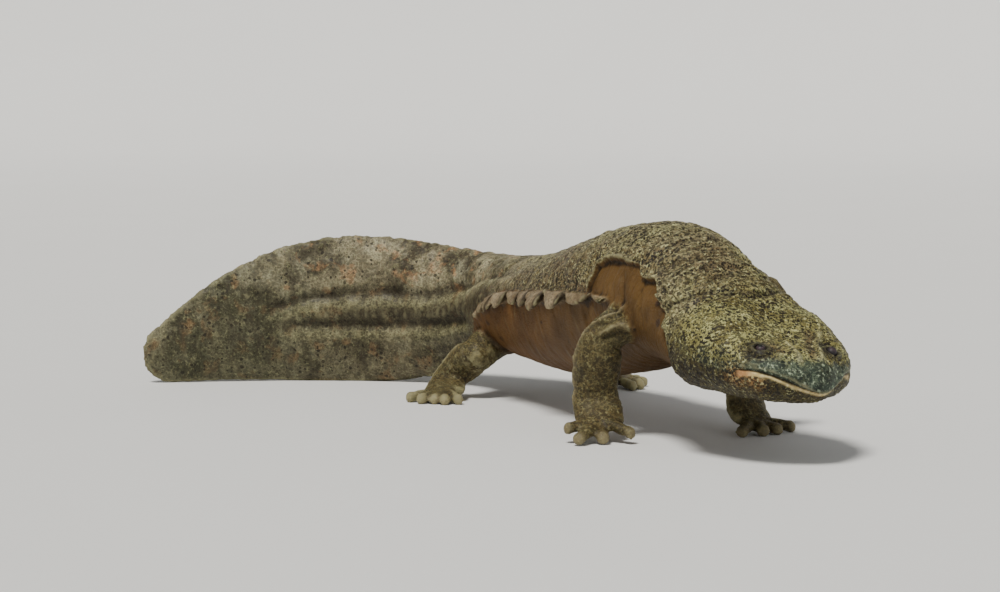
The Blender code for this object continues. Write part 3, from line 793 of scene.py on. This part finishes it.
def orbit(points, centre, gaze):
    """How far the skin round an eye moves: a rim as a bell round the opening, a moat and fine rings
    outside it, and a hole under the eye."""
    away, depth = from_gaze(points, centre, gaze)
    rise = 0.60 * bell(away - 0.0039, 0.0010) - 0.55 * bell(away - 0.0064, 0.0014)
    rise += 0.34 * np.cos(away * 2 * math.pi / 0.0018) * bell(away - 0.0076, 0.0026)
    rise -= 2.2 * step(0.0031 - away, 0, 0.0007)
    return rise * step(depth, -0.006, -0.002) * MM


def fine_forms(p):
    """How far wrinkles, lumps and pimples stand out, each a noise stretched along the way it runs."""
    points, at, arc = p.points, p.at, p.arc
    speckled = step(p.over_border, -0.0008, 0.0008)
    neck = step(at, 0.058, 0.070) * step(0.155 - at, 0, 0.04)
    collar = bell(at - 0.090, 0.014) * step(p.side, 128, 142)
    head = step(0.080 - at, 0, 0.02)
    off_lips = 1 - p.mouth * step(p.over_mouth, -0.004, -0.001) * step(0.006 - p.over_mouth, 0, 0.003)
    around = lattice((at + p.warp) / 0.0024, arc / 0.010, 0)
    radiating = lattice(at / 0.012, (arc + p.warp) / 0.0019, 1)
    back = -(0.95 * creases(around, 21) + 0.60 * creases(around * 1.7 + 9, 23)) * neck * (1 - collar)
    back -= 1.05 * creases(radiating, 25) * collar
    back -= 0.40 * creases(around * 0.8 + 7, 27) * (1 - neck) * (1 - head)
    back -= 0.34 * creases(points / 0.0030, 28) * head * off_lips
    back -= 0.30 * creases(points / 0.0042, 29) * (1 - head)
    back += 0.60 * layered(points / 0.008, 3, 31) * (1 - 0.5 * head)
    back += 0.46 * pimples(points / 0.0023, 51) * head * off_lips
    back += 0.32 * pimples(points / 0.0030, 53) * (1 - head)
    upright = lattice((at + p.warp) / 0.0042, arc / 0.024, 3)
    bare = 0.40 * layered(points / 0.010, 2, 37) - 0.30 * creases(upright * 1.5 + 4, 43)
    bare -= 0.36 * creases(upright, 41) * step(at, 0.09, 0.13)
    blocks = lattice((at + p.warp) / 0.0075, arc / 0.030, 0)
    body = back * speckled + bare * (1 - speckled) - 0.55 * creases(blocks, 47) * step(at, 0.27, 0.32)
    joint = bell(p.row - 2.2, 0.8) + bell(p.row - 4.4, 0.7)
    leg = 0.24 * pimples(points / 0.0026, 57)
    leg -= 0.55 * creases(lattice(p.row / 0.22, p.angle / 1.4, 0), 61) * (0.35 + 0.65 * joint)
    leg += 0.40 * layered(points / 0.006, 2, 63) * step(6 - p.row, 0.1, 0.6)
    fold = 0.35 * layered(points / 0.0035, 2, 71)
    fold -= 0.40 * creases(lattice(at / 0.0035, p.out / 0.012, 0), 73)
    rise = body * p.body + leg * p.leg + hind_edge(p) + fold * p.fold
    return rise * step(points[:, 2], 0.0002, 0.003) * MM


def hind_edge(p):
    """The thin fold of skin down the hind edge of an arm: a narrow bell in the angle round the leg."""
    rows = step(p.row, 1.9, 2.5) * step(5.0 - p.row, 0, 0.8)
    return bell(np.abs(p.angle) - math.pi, 0.24) * rows * p.leg


# ---- Building the skin -------------------------------------------------------------------------
def filled_out(points):
    """Ironing draws thin crests and corners in, so points inside the plain body move straight out
    from the spine to its surface, by at most three millimetres."""
    at, left, up = body_places(points)
    growth = np.clip(-outside(at, left, up), 0, 0.003) * step(at, 0.002, 0.006)
    growth *= step(LENGTH - at, 0.001, 0.004)
    _, aside, above, _ = axes(np.clip(at, 0, LENGTH))
    way = aside * left[:, None] + above * up[:, None]
    return points + way * (growth / np.maximum(np.hypot(left, up), 1e-6))[:, None]


def fused_skin():
    """All the tubes fused into one surface of even grain, refined on the head, the right arm and the
    right side fold, and ironed smooth."""
    tubes = [body_tube(), fold_tube(1), fold_tube(-1)]
    for limb in LIMBS:
        slim = TOE_SLIM if limb[2] is LEG else FINGER_SLIM
        tubes += [limb_tube(limb), *(digit_tube(*path, slim) for path in digit_paths(limb))]
    mesh = with_modifier(mesh_of("tubes", tubes), "REMESH", mode="VOXEL", voxel_size=GRAIN)
    points = points_of(mesh)
    at, left, up = body_places(points)
    folds = (outside(at, left, up) > 0.0005) & (at > FOLD_START) & (at < FOLD_END)
    folds &= np.abs(np.degrees(np.arctan2(up, np.abs(left)))) < 30
    points = relax(points, edges_of(mesh), np.where(folds, 0.22, 0.5), 5)
    set_points(mesh, points)
    arm = limb_places(points, LIMBS[0])[1] < 1.6
    reach = np.where(body_turn(at, left, up) > 60, 0.165, 0.092)
    refine(mesh, (at < reach) | arm | (folds & (left < 0)))
    edges = edges_of(mesh)
    points = filled_out(relax(points_of(mesh), edges, 0.4, 2))
    set_points(mesh, relax(points, edges, 0.4, 1))
    return mesh


def eye_axis(node, mesh):
    """The centre of an eye and the way it looks: the mean way that the skin faces round it."""
    low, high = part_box(node)
    centre = np.array((low + high) / 2)
    near = np.linalg.norm(points_of(mesh) - centre, axis=1) < 0.005
    return centre, unit(normals_of(mesh)[near].mean(axis=0))


def off_floor(points):
    """Points under the floor come up to it."""
    return np.maximum(points, (-np.inf, -np.inf, 0.0))


skin = fused_skin()
edges = edges_of(skin)
eyes = {name: eye_axis(name, skin) for name in ("eye_left", "eye_right")}
p = Places(points_of(skin))

# Legs grow out of the body through a soft fillet: points near a root move towards their neighbours.
near_root = neighbours_mean(p.leg * step(1.6 - p.row, 0, 0.8), edges)
for _ in range(12):
    near_root = np.maximum(near_root, neighbours_mean(near_root, edges))
soften = 0.5 * step(near_root, 0.0, 0.4)[:, None]
points = p.points
for _ in range(14):
    points = points + (neighbours_mean(points, edges) - points) * soften
set_points(skin, points)
points = points + normals_of(skin) * broad_forms(p)[:, None]
set_points(skin, points)
rise = fine_forms(p) + sum(orbit(p.points, *eye) for eye in eyes.values())
points = off_floor(relax(points + normals_of(skin) * rise[:, None], edges, 0.35, 1))
set_points(skin, points)

# Numbers kept with the skin for its colours, among them masks of painted shade and painted highlight.
normals = normals_of(skin)
# Painted shade and highlight: how hollow or bulging the skin is at each point; hollows are painted darker
# and bulges paler.
cavity_shade_and_highlight = dot(neighbours_mean(points, edges) - points, normals)
cavity_shade_and_highlight = neighbours_mean(neighbours_mean(cavity_shade_and_highlight, edges), edges)
lobes = fold_lobes(p.at, np.where(p.left > 0, 1, -1))[2]
tip = np.maximum(0.8 * p.leg * step(p.digit, 0.50, 1.05), 0.7 * hind_edge(p))
# Painted highlight along the right arm's crest and elbow fold.
painted_crest_highlight = np.maximum(arm_stroke(p.points, ARM_CREST, 0.9), 0.6 * arm_stroke(p.points, ARM_FOLD, 1.4))
collar = bell(p.at - 0.089, 0.014) * step(p.side, 122, 140) * step(190 - p.side, 0, 15)
# Painted highlight on the rear corner of the cheek; with the collar's paler wrinkled skin it makes one pale
# patch.
cheek = bell(p.at - 0.074, 0.006) * step(p.side, 120, 140) * step(178 - p.side, 0, 15)
flank = step(np.abs(p.turn - 90), 12, 50) * step(p.at, 0.130, 0.165)
# Painted shade: dark lines in the tail's grooves and in the nape crease.
grooves = np.maximum(both(p.points, UPPER_TAIL_GROOVE, 2.6, 0.1), both(p.points, LOWER_TAIL_GROOVE, 2.6))
grooves *= 0.70 + 0.55 * noise(p.points / 0.012, 97)
painted_nape_shade = both(p.points, NAPE_CREASE, 1.5) * (0.7 + 0.5 * noise(p.points / 0.004, 95))
# Painted highlight: pale lines just below each tail groove, where its ridge catches the light.
upper_light, lower_light = (
    both(p.points, [(at, turn + 8) for at, turn in groove], 3.2)
    for groove in (UPPER_TAIL_GROOVE, LOWER_TAIL_GROOVE)
)
tail_light = 0.26 * np.maximum(upper_light, 0.8 * lower_light)
# Painted highlight on the snout's ridges.
ridges = np.maximum(
    strokes(p.points, SNOUT_RIDGES[:1], 1.0), 0.55 * strokes(p.points, SNOUT_RIDGES[1:], 1.0)
)
ridges *= 0.62 + 0.75 * noise(p.points / 0.0017, 99)
lip_width = np.interp(p.at, MOUTH_AT, LIP_WIDTH)
lip_width *= 1 - 0.55 * step(p.left, 0.008, 0.015) * step(0.016 - p.at, 0, 0.005)
lip = step(-p.over_mouth, 0.0001, 0.0005) * step(p.over_mouth + lip_width, -0.0003, 0.0004)
lip_top = np.interp(p.at, np.array((0, 8, 17, 24)) * MM, np.array((9.5, 9.5, 7.5, 4.5)) * MM)
dark = step(lip_top - p.up + 0.0022 * noise(p.points / 0.003, 81), -0.0030, 0.0026)
dark *= step(p.over_mouth, -0.0003, 0.0003)
dark *= step(0.0215 - p.at + 0.003 * noise(p.points / 0.0035, 83), 0, 0.009)
dusk = np.maximum(step(p.over_mouth, -0.001, 0.002), step(p.at, 0.0185, 0.0235))
dusk *= 0.66 * step(0.050 - p.at, 0, 0.020) * step(0.0105 - p.up, 0, 0.005)
dusk *= step(p.up, -0.0010, 0.0014) * (0.75 + 0.5 * noise(p.points / 0.005, 85))
# Painted shade round the eyes, in and about their sockets.
socket = np.zeros(len(points))
for eye in eyes.values():
    away, depth = from_gaze(p.points, *eye)
    away = np.where(depth > -0.006, away, 1)
    shade = 0.80 * step(0.0098 - away + 0.0026 * noise(p.points / 0.0024, 91), 0, 0.0050)
    socket = np.maximum.reduce([socket, shade, step(0.0044 - away, 0, 0.0012)])
on_body_only = {
    "creased": step(p.at, 0.056, 0.070) * step(0.150 - p.at, 0, 0.05),
    "collar": collar,
    "pale_collar_and_cheek_highlight": np.maximum(collar, cheek),
    # Painted shade under the jaw and on the lower cheek.
    "jaw": step(p.side, 152, 186) * step(0.085 - p.at, 0, 0.02),
    "tail": step(p.at, 0.20, 0.34),
    "tail_end": step(p.at, 0.40, 0.49),
    "neck": step(p.at, 0.06, 0.09),
    "brown": np.maximum(flank, strokes(p.points, SNOUT_TROUGHS, 2.8)),
    # Painted light: skin that faces up is made paler.
    "upward": step(normals[:, 2], 0.45, 0.95) * step(p.at, 0.08, 0.12),
    "tinge": np.maximum(spot(p.points, 18, 182, 5.5), spot(p.points, 11, 185, 4.5)),
    "upper_lip": np.maximum(dark, dusk),
}
notes = {name: values * p.body for name, values in on_body_only.items()} | {
    "cavity_shade_and_highlight": np.clip(cavity_shade_and_highlight / 0.00010, -1, 1),
    "speckled": np.maximum(step(p.over_border, -0.0006, 0.0006) * p.body, p.leg),
    "leg": p.leg,
    "fold": p.fold,
    # Painted shade in the clefts between the fold's lobes.
    "painted_cleft_shade": step(0.50 - lobes, 0, 0.45) * p.fold,
    "tip": np.maximum(tip, painted_crest_highlight),
    "flank": step(p.at, 0.15, 0.25),
    "along": (p.at + p.warp) / MM,
    "round": p.arc / MM,
    "peach": step(p.at, 0.010, 0.016) * (1 - 0.8 * step(p.left, 0.004, 0.012)),
    # Painted shade along the tail's middle band.
    "band": both(p.points, TAIL_BAND, 6.0),
    # Painted shade: skin that faces down is made darker.
    "under": step(-normals[:, 2], 0.1, 0.8),
    # Painted shade: the sides far round from the back are made darker (used on the tail).
    "low": step(np.abs(p.turn - 90), 55, 85),
    # Painted highlight on the snout's ridges and below the tail's grooves.
    "ridge": np.clip(np.maximum(ridges, tail_light), 0, 1),
    "groove": np.maximum(grooves, 1.5 * painted_nape_shade),
    "lip": lip * p.mouth,
    "socket": socket,
}
for name, values in notes.items():
    note(skin, name, values)
skin = with_modifier(skin, "DECIMATE", ratio=min(1.0, TRIANGLES / (2 * len(skin.polygons))))
set_points(skin, off_floor(points_of(skin)))


# ---- Materials ---------------------------------------------------------------------------------
class Value:
    """A socket that carries a number, so that a material is written as sums and products."""

    def __init__(self, graph, socket):
        self.graph, self.socket = graph, socket

    def __add__(self, other):
        return self.graph.maths("ADD", self, other)

    def __sub__(self, other):
        return self.graph.maths("SUBTRACT", self, other)

    def __rsub__(self, other):
        return self.graph.maths("SUBTRACT", other, self)

    def __mul__(self, other):
        return self.graph.maths("MULTIPLY", self, other)

    __radd__, __rmul__ = __add__, __mul__

    def step(self, low, high):
        """0 below low, 1 above high, and smooth between."""
        inputs = {"Value": self, "From Min": low, "From Max": high}
        return self.graph.node("MapRange", inputs, interpolation_type="SMOOTHSTEP")


class Graph:
    """The nodes of one material."""

    def __init__(self, name):
        self.material = bpy.data.materials.new(name)
        self.material.use_nodes = True
        self.tree = self.material.node_tree
        self.shader = self.tree.nodes["Principled BSDF"]

    def node(self, kind, inputs=None, output=None, **settings):
        """A new node's output, by name or the first. Its settings come first, because they decide
        which sockets it has. Its inputs go by name or number."""
        made = self.tree.nodes.new("ShaderNode" + kind)
        for name, value in settings.items():
            setattr(made, name, value)
        sockets = [socket for socket in made.inputs if socket.enabled]
        for key, value in (inputs or {}).items():
            self.feed(next(s for k, s in enumerate(sockets) if key in (k, s.name)), value)
        return Value(self, next(s for s in made.outputs if s.enabled and output in (None, s.name)))

    def feed(self, socket, value):
        """Links a value to a socket, or sets the socket to a number or a colour."""
        if isinstance(value, Value):
            self.tree.links.new(value.socket, socket)
        else:
            socket.default_value = (*value, 1) if socket.type == "RGBA" else value

    def maths(self, operation, first, second):
        """A sum, product or other result of two numbers."""
        return self.node("Math", {0: first, 1: second}, operation=operation)

    def mix(self, share, first, second):
        """A colour between the first and the second."""
        return self.node("Mix", {"Factor": share, "A": first, "B": second}, data_type="RGBA")

    def coated(self, colour, *coats):
        """A colour with coats over it, each of them a share and a colour of its own."""
        for share, coat in coats:
            colour = self.mix(share, colour, coat)
        return colour

    def kept(self, name):
        """A number kept with each point."""
        return self.node("Attribute", None, "Fac", attribute_name=name)

    def place(self, warp=0.0, size=1.0):
        """The point's place on the object, pushed about by a noise of that size."""
        place = self.node("TexCoord", None, "Object")
        if warp == 0.0:
            return place
        push = self.node("TexNoise", {"Vector": place, "Scale": size, "Detail": 2.0}, "Color")
        push = self.node("VectorMath", {0: push, 1: (0.5, 0.5, 0.5)}, operation="SUBTRACT")
        return self.node("VectorMath", {0: push, 1: (warp, warp, warp), 2: place}, operation="MULTIPLY_ADD")

    def row_of(self, along, across):
        """A place worked out from the millimetres along the body and round it, so that what reads it
        stretches round the body."""
        return self.node("CombineXYZ", {"X": self.kept("along") * along, "Y": self.kept("round") * across})

    def noise(self, place, scale, detail=3.0, roughness=0.55):
        """Soft random numbers from 0 to 1."""
        inputs = {"Vector": place, "Scale": scale, "Detail": detail, "Roughness": roughness}
        return self.node("TexNoise", inputs, "Fac")

    def dots(self, place, scale, small, large, soft):
        """1 inside dots, one to a cell, whose radii lie between small and large cell widths."""
        away = self.node("TexVoronoi", {"Vector": place, "Scale": scale}, "Distance")
        cell = Value(self, away.socket.node.outputs["Color"])
        radius = self.node("SeparateColor", {0: cell}) * (large - small) + small
        return (radius - away).step(0.0, soft)

    def finish(self, inputs):
        """The material, once its shader's sockets are fed."""
        for name, value in inputs.items():
            self.feed(self.shader.inputs[name], value)
        return self.material


def speckled_skin():
    """Yellow-grey skin with dark specks and pale flecks over back, head and legs, bare red-brown skin
    below, a browner tail with blotches, blue-grey upper lip and pale orange lower lip. Painted shade
    darkens hollows, wrinkles, grooves, clefts, the eyes' surroundings, the jaw's underside and lower and
    down-facing skin; painted highlight lightens bulges, ridges, the arm's crest, the cheek's rear corner,
    up-facing skin and some of the pale flecks."""
    g = Graph("speckled_skin")
    place, warped, loose = g.place(), g.place(0.0016, 420.0), g.place(0.006, 90.0)
    speckled, tail, fold, neck, leg = map(g.kept, ("speckled", "tail", "fold", "neck", "leg"))
    cavity_shade_and_highlight, jaw, collar, band = map(g.kept, ("cavity_shade_and_highlight", "jaw", "collar", "band"))
    clouds, fine = g.noise(place, 55.0, 4.0), g.noise(place, 900.0)
    pale = g.noise(place, 95.0).step(0.46, 0.66)
    patches = g.noise(loose, 30.0).step(0.39, 0.61)
    ground = g.coated(
        g.mix(clouds.step(0.34, 0.64), (0.130, 0.108, 0.031), (0.285, 0.262, 0.090)),
        (pale * 0.65, (0.450, 0.445, 0.185)),
        (leg * 0.84, (0.080, 0.056, 0.023)),
        (patches * neck * 0.66, (0.140, 0.088, 0.050)),
        (g.kept("brown") * 0.62, (0.132, 0.082, 0.046)),
        # Painted light on skin that faces up.
        (g.kept("upward") * 0.36, (0.400, 0.375, 0.215)),
        # Painted shade under the jaw and on the lower cheek.
        (jaw * 0.92, (0.036, 0.025, 0.006)),
        (g.kept("tinge") * 0.60, (0.360, 0.185, 0.070)),
    )
    mottle = g.noise(loose, 42.0, 4.0).step(0.42, 0.58)
    tail_ground = g.coated(
        g.mix(mottle, (0.070, 0.056, 0.031), (0.315, 0.275, 0.165)),
        (pale * 0.50, (0.420, 0.395, 0.255)),
        (g.noise(loose, 105.0).step(0.55, 0.67) * 0.60, (0.470, 0.245, 0.105)),
        # Painted shade on the tail's lower sides.
        (g.kept("low") * 0.56, (0.066, 0.058, 0.030)),
        # Painted shade along the tail's middle band.
        (band * 0.74, (0.050, 0.038, 0.021)),
        (g.kept("tail_end") * 0.52, (0.052, 0.060, 0.029)),
    )
    # Pale flecks, partly the skin's own colour and partly painted highlight on the tops of its pimples.
    pale_flecks_and_highlights = g.noise(place, 560.0, 2.0, 0.7).step(0.53, 0.66)
    crowd = g.noise(place, 75.0).step(0.34, 0.60)
    specks = g.dots(warped, 730.0, 0.30, 0.79, 0.11)
    small = g.dots(warped, 1200.0, 0.24, 0.70, 0.13)
    blots = g.dots(loose, 105.0, 0.0, 0.66, 0.34)
    sparse = g.dots(warped, 400.0, -0.22, 0.46, 0.08)
    smears = g.noise(g.row_of(0.17, 0.075), 1.0, 4.0).step(0.46, 0.68)
    marks = g.maths("MAXIMUM", specks * (crowd * 0.20 + 0.80), small * 0.66)
    # Painted shade: dark lines in the furrows of the neck's wrinkles and of the collar's fan of wrinkles;
    # the same lines sink the bump.
    furrow = g.noise(g.row_of(0.50, 0.10), 1.0, 2.0).step(0.50, 0.60) * g.kept("creased")
    fan = g.noise(g.row_of(0.10, 0.55), 1.0, 2.0).step(0.50, 0.60) * collar
    wrinkles = g.maths("MAXIMUM", furrow * (1.0 - collar), fan)
    skin = g.coated(
        ground,
        (tail, tail_ground),
        # The collar's wrinkled skin made paler, and a painted highlight on the rear corner of the cheek.
        (g.kept("pale_collar_and_cheek_highlight") * 0.55, (0.470, 0.420, 0.225)),
        (pale_flecks_and_highlights * (0.68 - tail * 0.48 - leg * 0.50 - jaw * 0.22), (0.600, 0.585, 0.290)),
        (marks * (0.98 - tail * 0.46 - leg * 0.28), (0.012, 0.009, 0.005)),
        (blots * (tail * 0.20 + neck * 0.08 + leg * 0.42), (0.022, 0.017, 0.010)),
        (sparse * tail * 0.80, (0.014, 0.011, 0.007)),
        # Painted shade along the tail's middle band.
        (band * (0.64 - mottle * 0.30), (0.036, 0.027, 0.015)),
        (smears * tail * 0.46, (0.040, 0.033, 0.021)),
        # Painted shade in the wrinkles' furrows.
        (wrinkles * 0.55, (0.045, 0.032, 0.016)),
    )
    cloudy = clouds.step(0.25, 0.75)
    streaks = g.noise(g.place(0.004, 200.0), 160.0, 4.0).step(0.40, 0.70)
    bare = g.coated(
        g.mix(cloudy, (0.067, 0.034, 0.008), (0.125, 0.067, 0.017)),
        (g.kept("flank"), g.mix(cloudy, (0.077, 0.034, 0.008), (0.151, 0.069, 0.016))),
        (streaks * 0.16, (0.225, 0.128, 0.045)),
        (g.dots(loose, 95.0, -0.15, 0.30, 0.06) * 0.8, (0.032, 0.016, 0.008)),
        # Painted shade on bare skin that faces down.
        (g.kept("under") * 0.45, (0.069, 0.034, 0.010)),
    )
    pleats = g.coated(
        g.mix(clouds.step(0.3, 0.7), (0.160, 0.115, 0.060), (0.340, 0.270, 0.165)),
        (specks * 0.45, (0.045, 0.032, 0.018)),
        # Painted shade in the clefts between the fold's lobes.
        (g.kept("painted_cleft_shade") * 0.80, (0.020, 0.012, 0.006)),
    )
    upper_lip = g.coated(
        g.mix(g.noise(place, 130.0).step(0.35, 0.65), (0.016, 0.026, 0.018), (0.072, 0.102, 0.072)),
        (pale_flecks_and_highlights * 0.85, (0.350, 0.420, 0.290)),
        (g.maths("MAXIMUM", specks * 0.60, small * 0.65), (0.010, 0.014, 0.010)),
    )
    soft = g.noise(place, 300.0).step(0.4, 0.7)
    cream = g.mix(soft, (0.520, 0.400, 0.170), (0.740, 0.620, 0.330))
    orange = g.mix(soft, (0.380, 0.190, 0.070), (0.640, 0.370, 0.170))
    skin = g.coated(
        g.mix(speckled, bare, skin),
        (fold, pleats),
        # Paler digit tips and hind edges of the arms, and painted highlight along the right arm's crest and
        # elbow fold.
        (g.kept("tip") * 0.60, (0.300, 0.250, 0.140)),
        (g.kept("upper_lip") * 0.92, upper_lip),
        # Painted shade in the tail's grooves and the nape crease.
        (g.kept("groove") * 0.44, (0.034, 0.026, 0.016)),
        # Painted highlight on the snout's ridges and below the tail's grooves.
        (g.kept("ridge") * (0.90 - marks * 0.70), (0.560, 0.540, 0.270)),
        (g.kept("lip"), g.mix(g.kept("peach"), cream, orange)),
        # Painted shade in the skin's hollows and painted highlight on its bulges.
        (cavity_shade_and_highlight.step(0.0, 1.0) * (0.80 - tail * 0.28 + fold * 0.05), (0.014, 0.010, 0.005)),
        ((0.0 - cavity_shade_and_highlight).step(0.15, 1.0) * (0.36 - tail * 0.12 + fold * 0.14), (0.470, 0.440, 0.235)),
        # Painted shade round the eyes.
        (g.kept("socket") * 0.90, (0.011, 0.009, 0.008)),
    )
    height = fine * 0.5 + g.noise(place, 2600.0, 2.0) * 0.25 - marks * 0.30 + pale_flecks_and_highlights * 0.4 - wrinkles * 0.8
    bump = g.node("Bump", {"Strength": 0.75, "Distance": 0.0005, "Height": height})
    fixed = {"Coat Weight": 0.02, "Coat Roughness": 0.22, "Specular IOR Level": 0.22}
    fixed |= {"Subsurface Weight": 0.03, "Subsurface Scale": 0.002}
    return g.finish({"Base Color": skin, "Roughness": fine * 0.16 + 0.50, "Normal": bump} | fixed)


def wet_eye():
    """A dark wet eye: black pupil, iris of dark purple-brown with gold flecks, darker at its rim. The
    number kept with each point is its angle from the pupil's middle."""
    g = Graph("wet_eye")
    angle = g.kept("angle")
    flecks = g.noise(g.place(), 2600.0).step(0.48, 0.66)
    iris = g.mix(flecks, (0.030, 0.017, 0.024), (0.080, 0.052, 0.044))
    iris = g.mix(angle.step(0.75, 1.05), iris, (0.014, 0.010, 0.012))
    colour = g.mix(angle.step(0.36, 0.42), (0.002, 0.002, 0.002), iris)
    fixed = {"Specular IOR Level": 0.35, "Coat Weight": 0.04, "Coat Roughness": 0.20}
    return g.finish({"Base Color": colour, "Roughness": flecks * 0.10 + 0.55} | fixed)


def pale_floor():
    """Pale grey with faint clouds."""
    g = Graph("pale_floor")
    colour = g.mix(g.noise(g.place(), 6.0) * 0.15, (0.78, 0.78, 0.77), (0.60, 0.60, 0.59))
    return g.finish({"Base Color": colour, "Roughness": 0.8})


# ---- The pieces --------------------------------------------------------------------------------
def eyeball(name, centre, gaze):
    """A ball whose poles lie along the way it looks, with a slight bulge of the cornea as a bell."""
    angle = np.linspace(0, math.pi, 42)[1:-1]
    radius = EYE_RADIUS * (1 + 0.05 * bell(angle, 0.55))
    side = unit(np.cross(gaze, (0, 0, 1)))
    path = centre + gaze * (radius * np.cos(angle))[:, None]
    wide = radius * np.sin(angle)
    rings = ellipses(path, side, np.cross(side, gaze), wide, wide, 64)
    mesh = mesh_of(name, [tube(rings, centre + gaze * EYE_RADIUS * 1.05, centre - gaze * EYE_RADIUS)])
    note(mesh, "angle", np.arccos(np.clip(unit(points_of(mesh) - centre) @ gaze, -1, 1)))
    return mesh


def place_object(name, mesh, material):
    """An object of the mesh in the scene."""
    mesh.materials.clear()
    mesh.materials.append(material)
    mesh.shade_smooth()
    made = bpy.data.objects.new(name, mesh)
    bpy.context.scene.collection.objects.link(made)
    return made


def piece(name, mesh, material, replaced):
    """An object of the mesh that stands for parts of the solid body."""
    made = place_object(name, mesh, material)
    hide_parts(*replaced)
    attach(made, "root")


flesh = [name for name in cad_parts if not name.startswith("eye")]
piece("skin", skin, speckled_skin(), flesh)
eye_finish = wet_eye()
for node, name in (("eye_left", "left_eyeball"), ("eye_right", "right_eyeball")):
    piece(name, eyeball(name, *eyes[node]), eye_finish, [node])

# ---- Floor, light and camera -------------------------------------------------------------------
SWEEP_FLAT, SWEEP_CURVE, SWEEP_TOP = 2.6, 1.0, 1.6


def sweep():
    """A round studio floor: level out to its flat radius, then curving up all round as a quarter
    circle and on up to its top, a profile turned about the upright axis."""
    around = 96
    bend = np.linspace(0, math.pi / 2, 24)
    level = np.linspace(0.3, SWEEP_FLAT, 12)[:-1]
    out = np.concatenate([level, SWEEP_FLAT + SWEEP_CURVE * np.sin(bend), [SWEEP_FLAT + SWEEP_CURVE]])
    high = np.concatenate([np.zeros(len(level)), SWEEP_CURVE * (1 - np.cos(bend)), [SWEEP_TOP]])
    path = high[:, None] * (0, 0, 1)
    points, quads, _ = tube(ellipses(path, (1, 0, 0), (0, 1, 0), out, out, around), path[0], path[-1])
    mesh = bpy.data.meshes.new("floor")
    mesh.from_pydata(points[:-2].tolist(), [], quads[:, ::-1].tolist() + [list(range(around))])
    return mesh


place_object("floor", sweep(), pale_floor())


def lamp(name, kind, energy, colour, place, turn, **settings):
    """A light of a kind at a place, turned about x, y and z by degrees."""
    light = bpy.data.lights.new(name, kind)
    light.energy, light.color = energy, colour
    for setting, value in settings.items():
        setattr(light, setting, value)
    made = bpy.data.objects.new(name, light)
    made.location = place
    made.rotation_euler = [math.radians(degrees) for degrees in turn]
    bpy.context.scene.collection.objects.link(made)


lamp("key_light", "SUN", 3.7, (1.0, 0.97, 0.91), (0, 0, 0), (24, -14, 0), angle=0.26)
fill_at, fill_aim = np.array((1.1, -1.3, 0.6)), np.array((0, 0, 0.05))
way = unit(fill_aim - fill_at)
fill_turn = (math.degrees(math.acos(-way[2])), 0, math.degrees(math.atan2(way[1], way[0])) - 90)
lamp("fill_light", "AREA", 4, (0.94, 0.97, 1.0), fill_at, fill_turn, shape="DISK", size=1.2)

world = bpy.data.worlds.new("studio")
world.use_nodes = True
background = world.node_tree.nodes["Background"]
background.inputs["Color"].default_value = (0.80, 0.82, 0.84, 1)
background.inputs["Strength"].default_value = 0.25
bpy.context.scene.world = world

camera_data = bpy.data.cameras.new("camera")
camera_data.lens, camera_data.sensor_width = 108, 36
camera = bpy.data.objects.new("camera", camera_data)
camera.location = (0.018, -1.5, 0.209)
camera.rotation_euler = (math.radians(90 - 5.58), 0, 0)
bpy.context.scene.collection.objects.link(camera)
bpy.context.scene.camera = camera
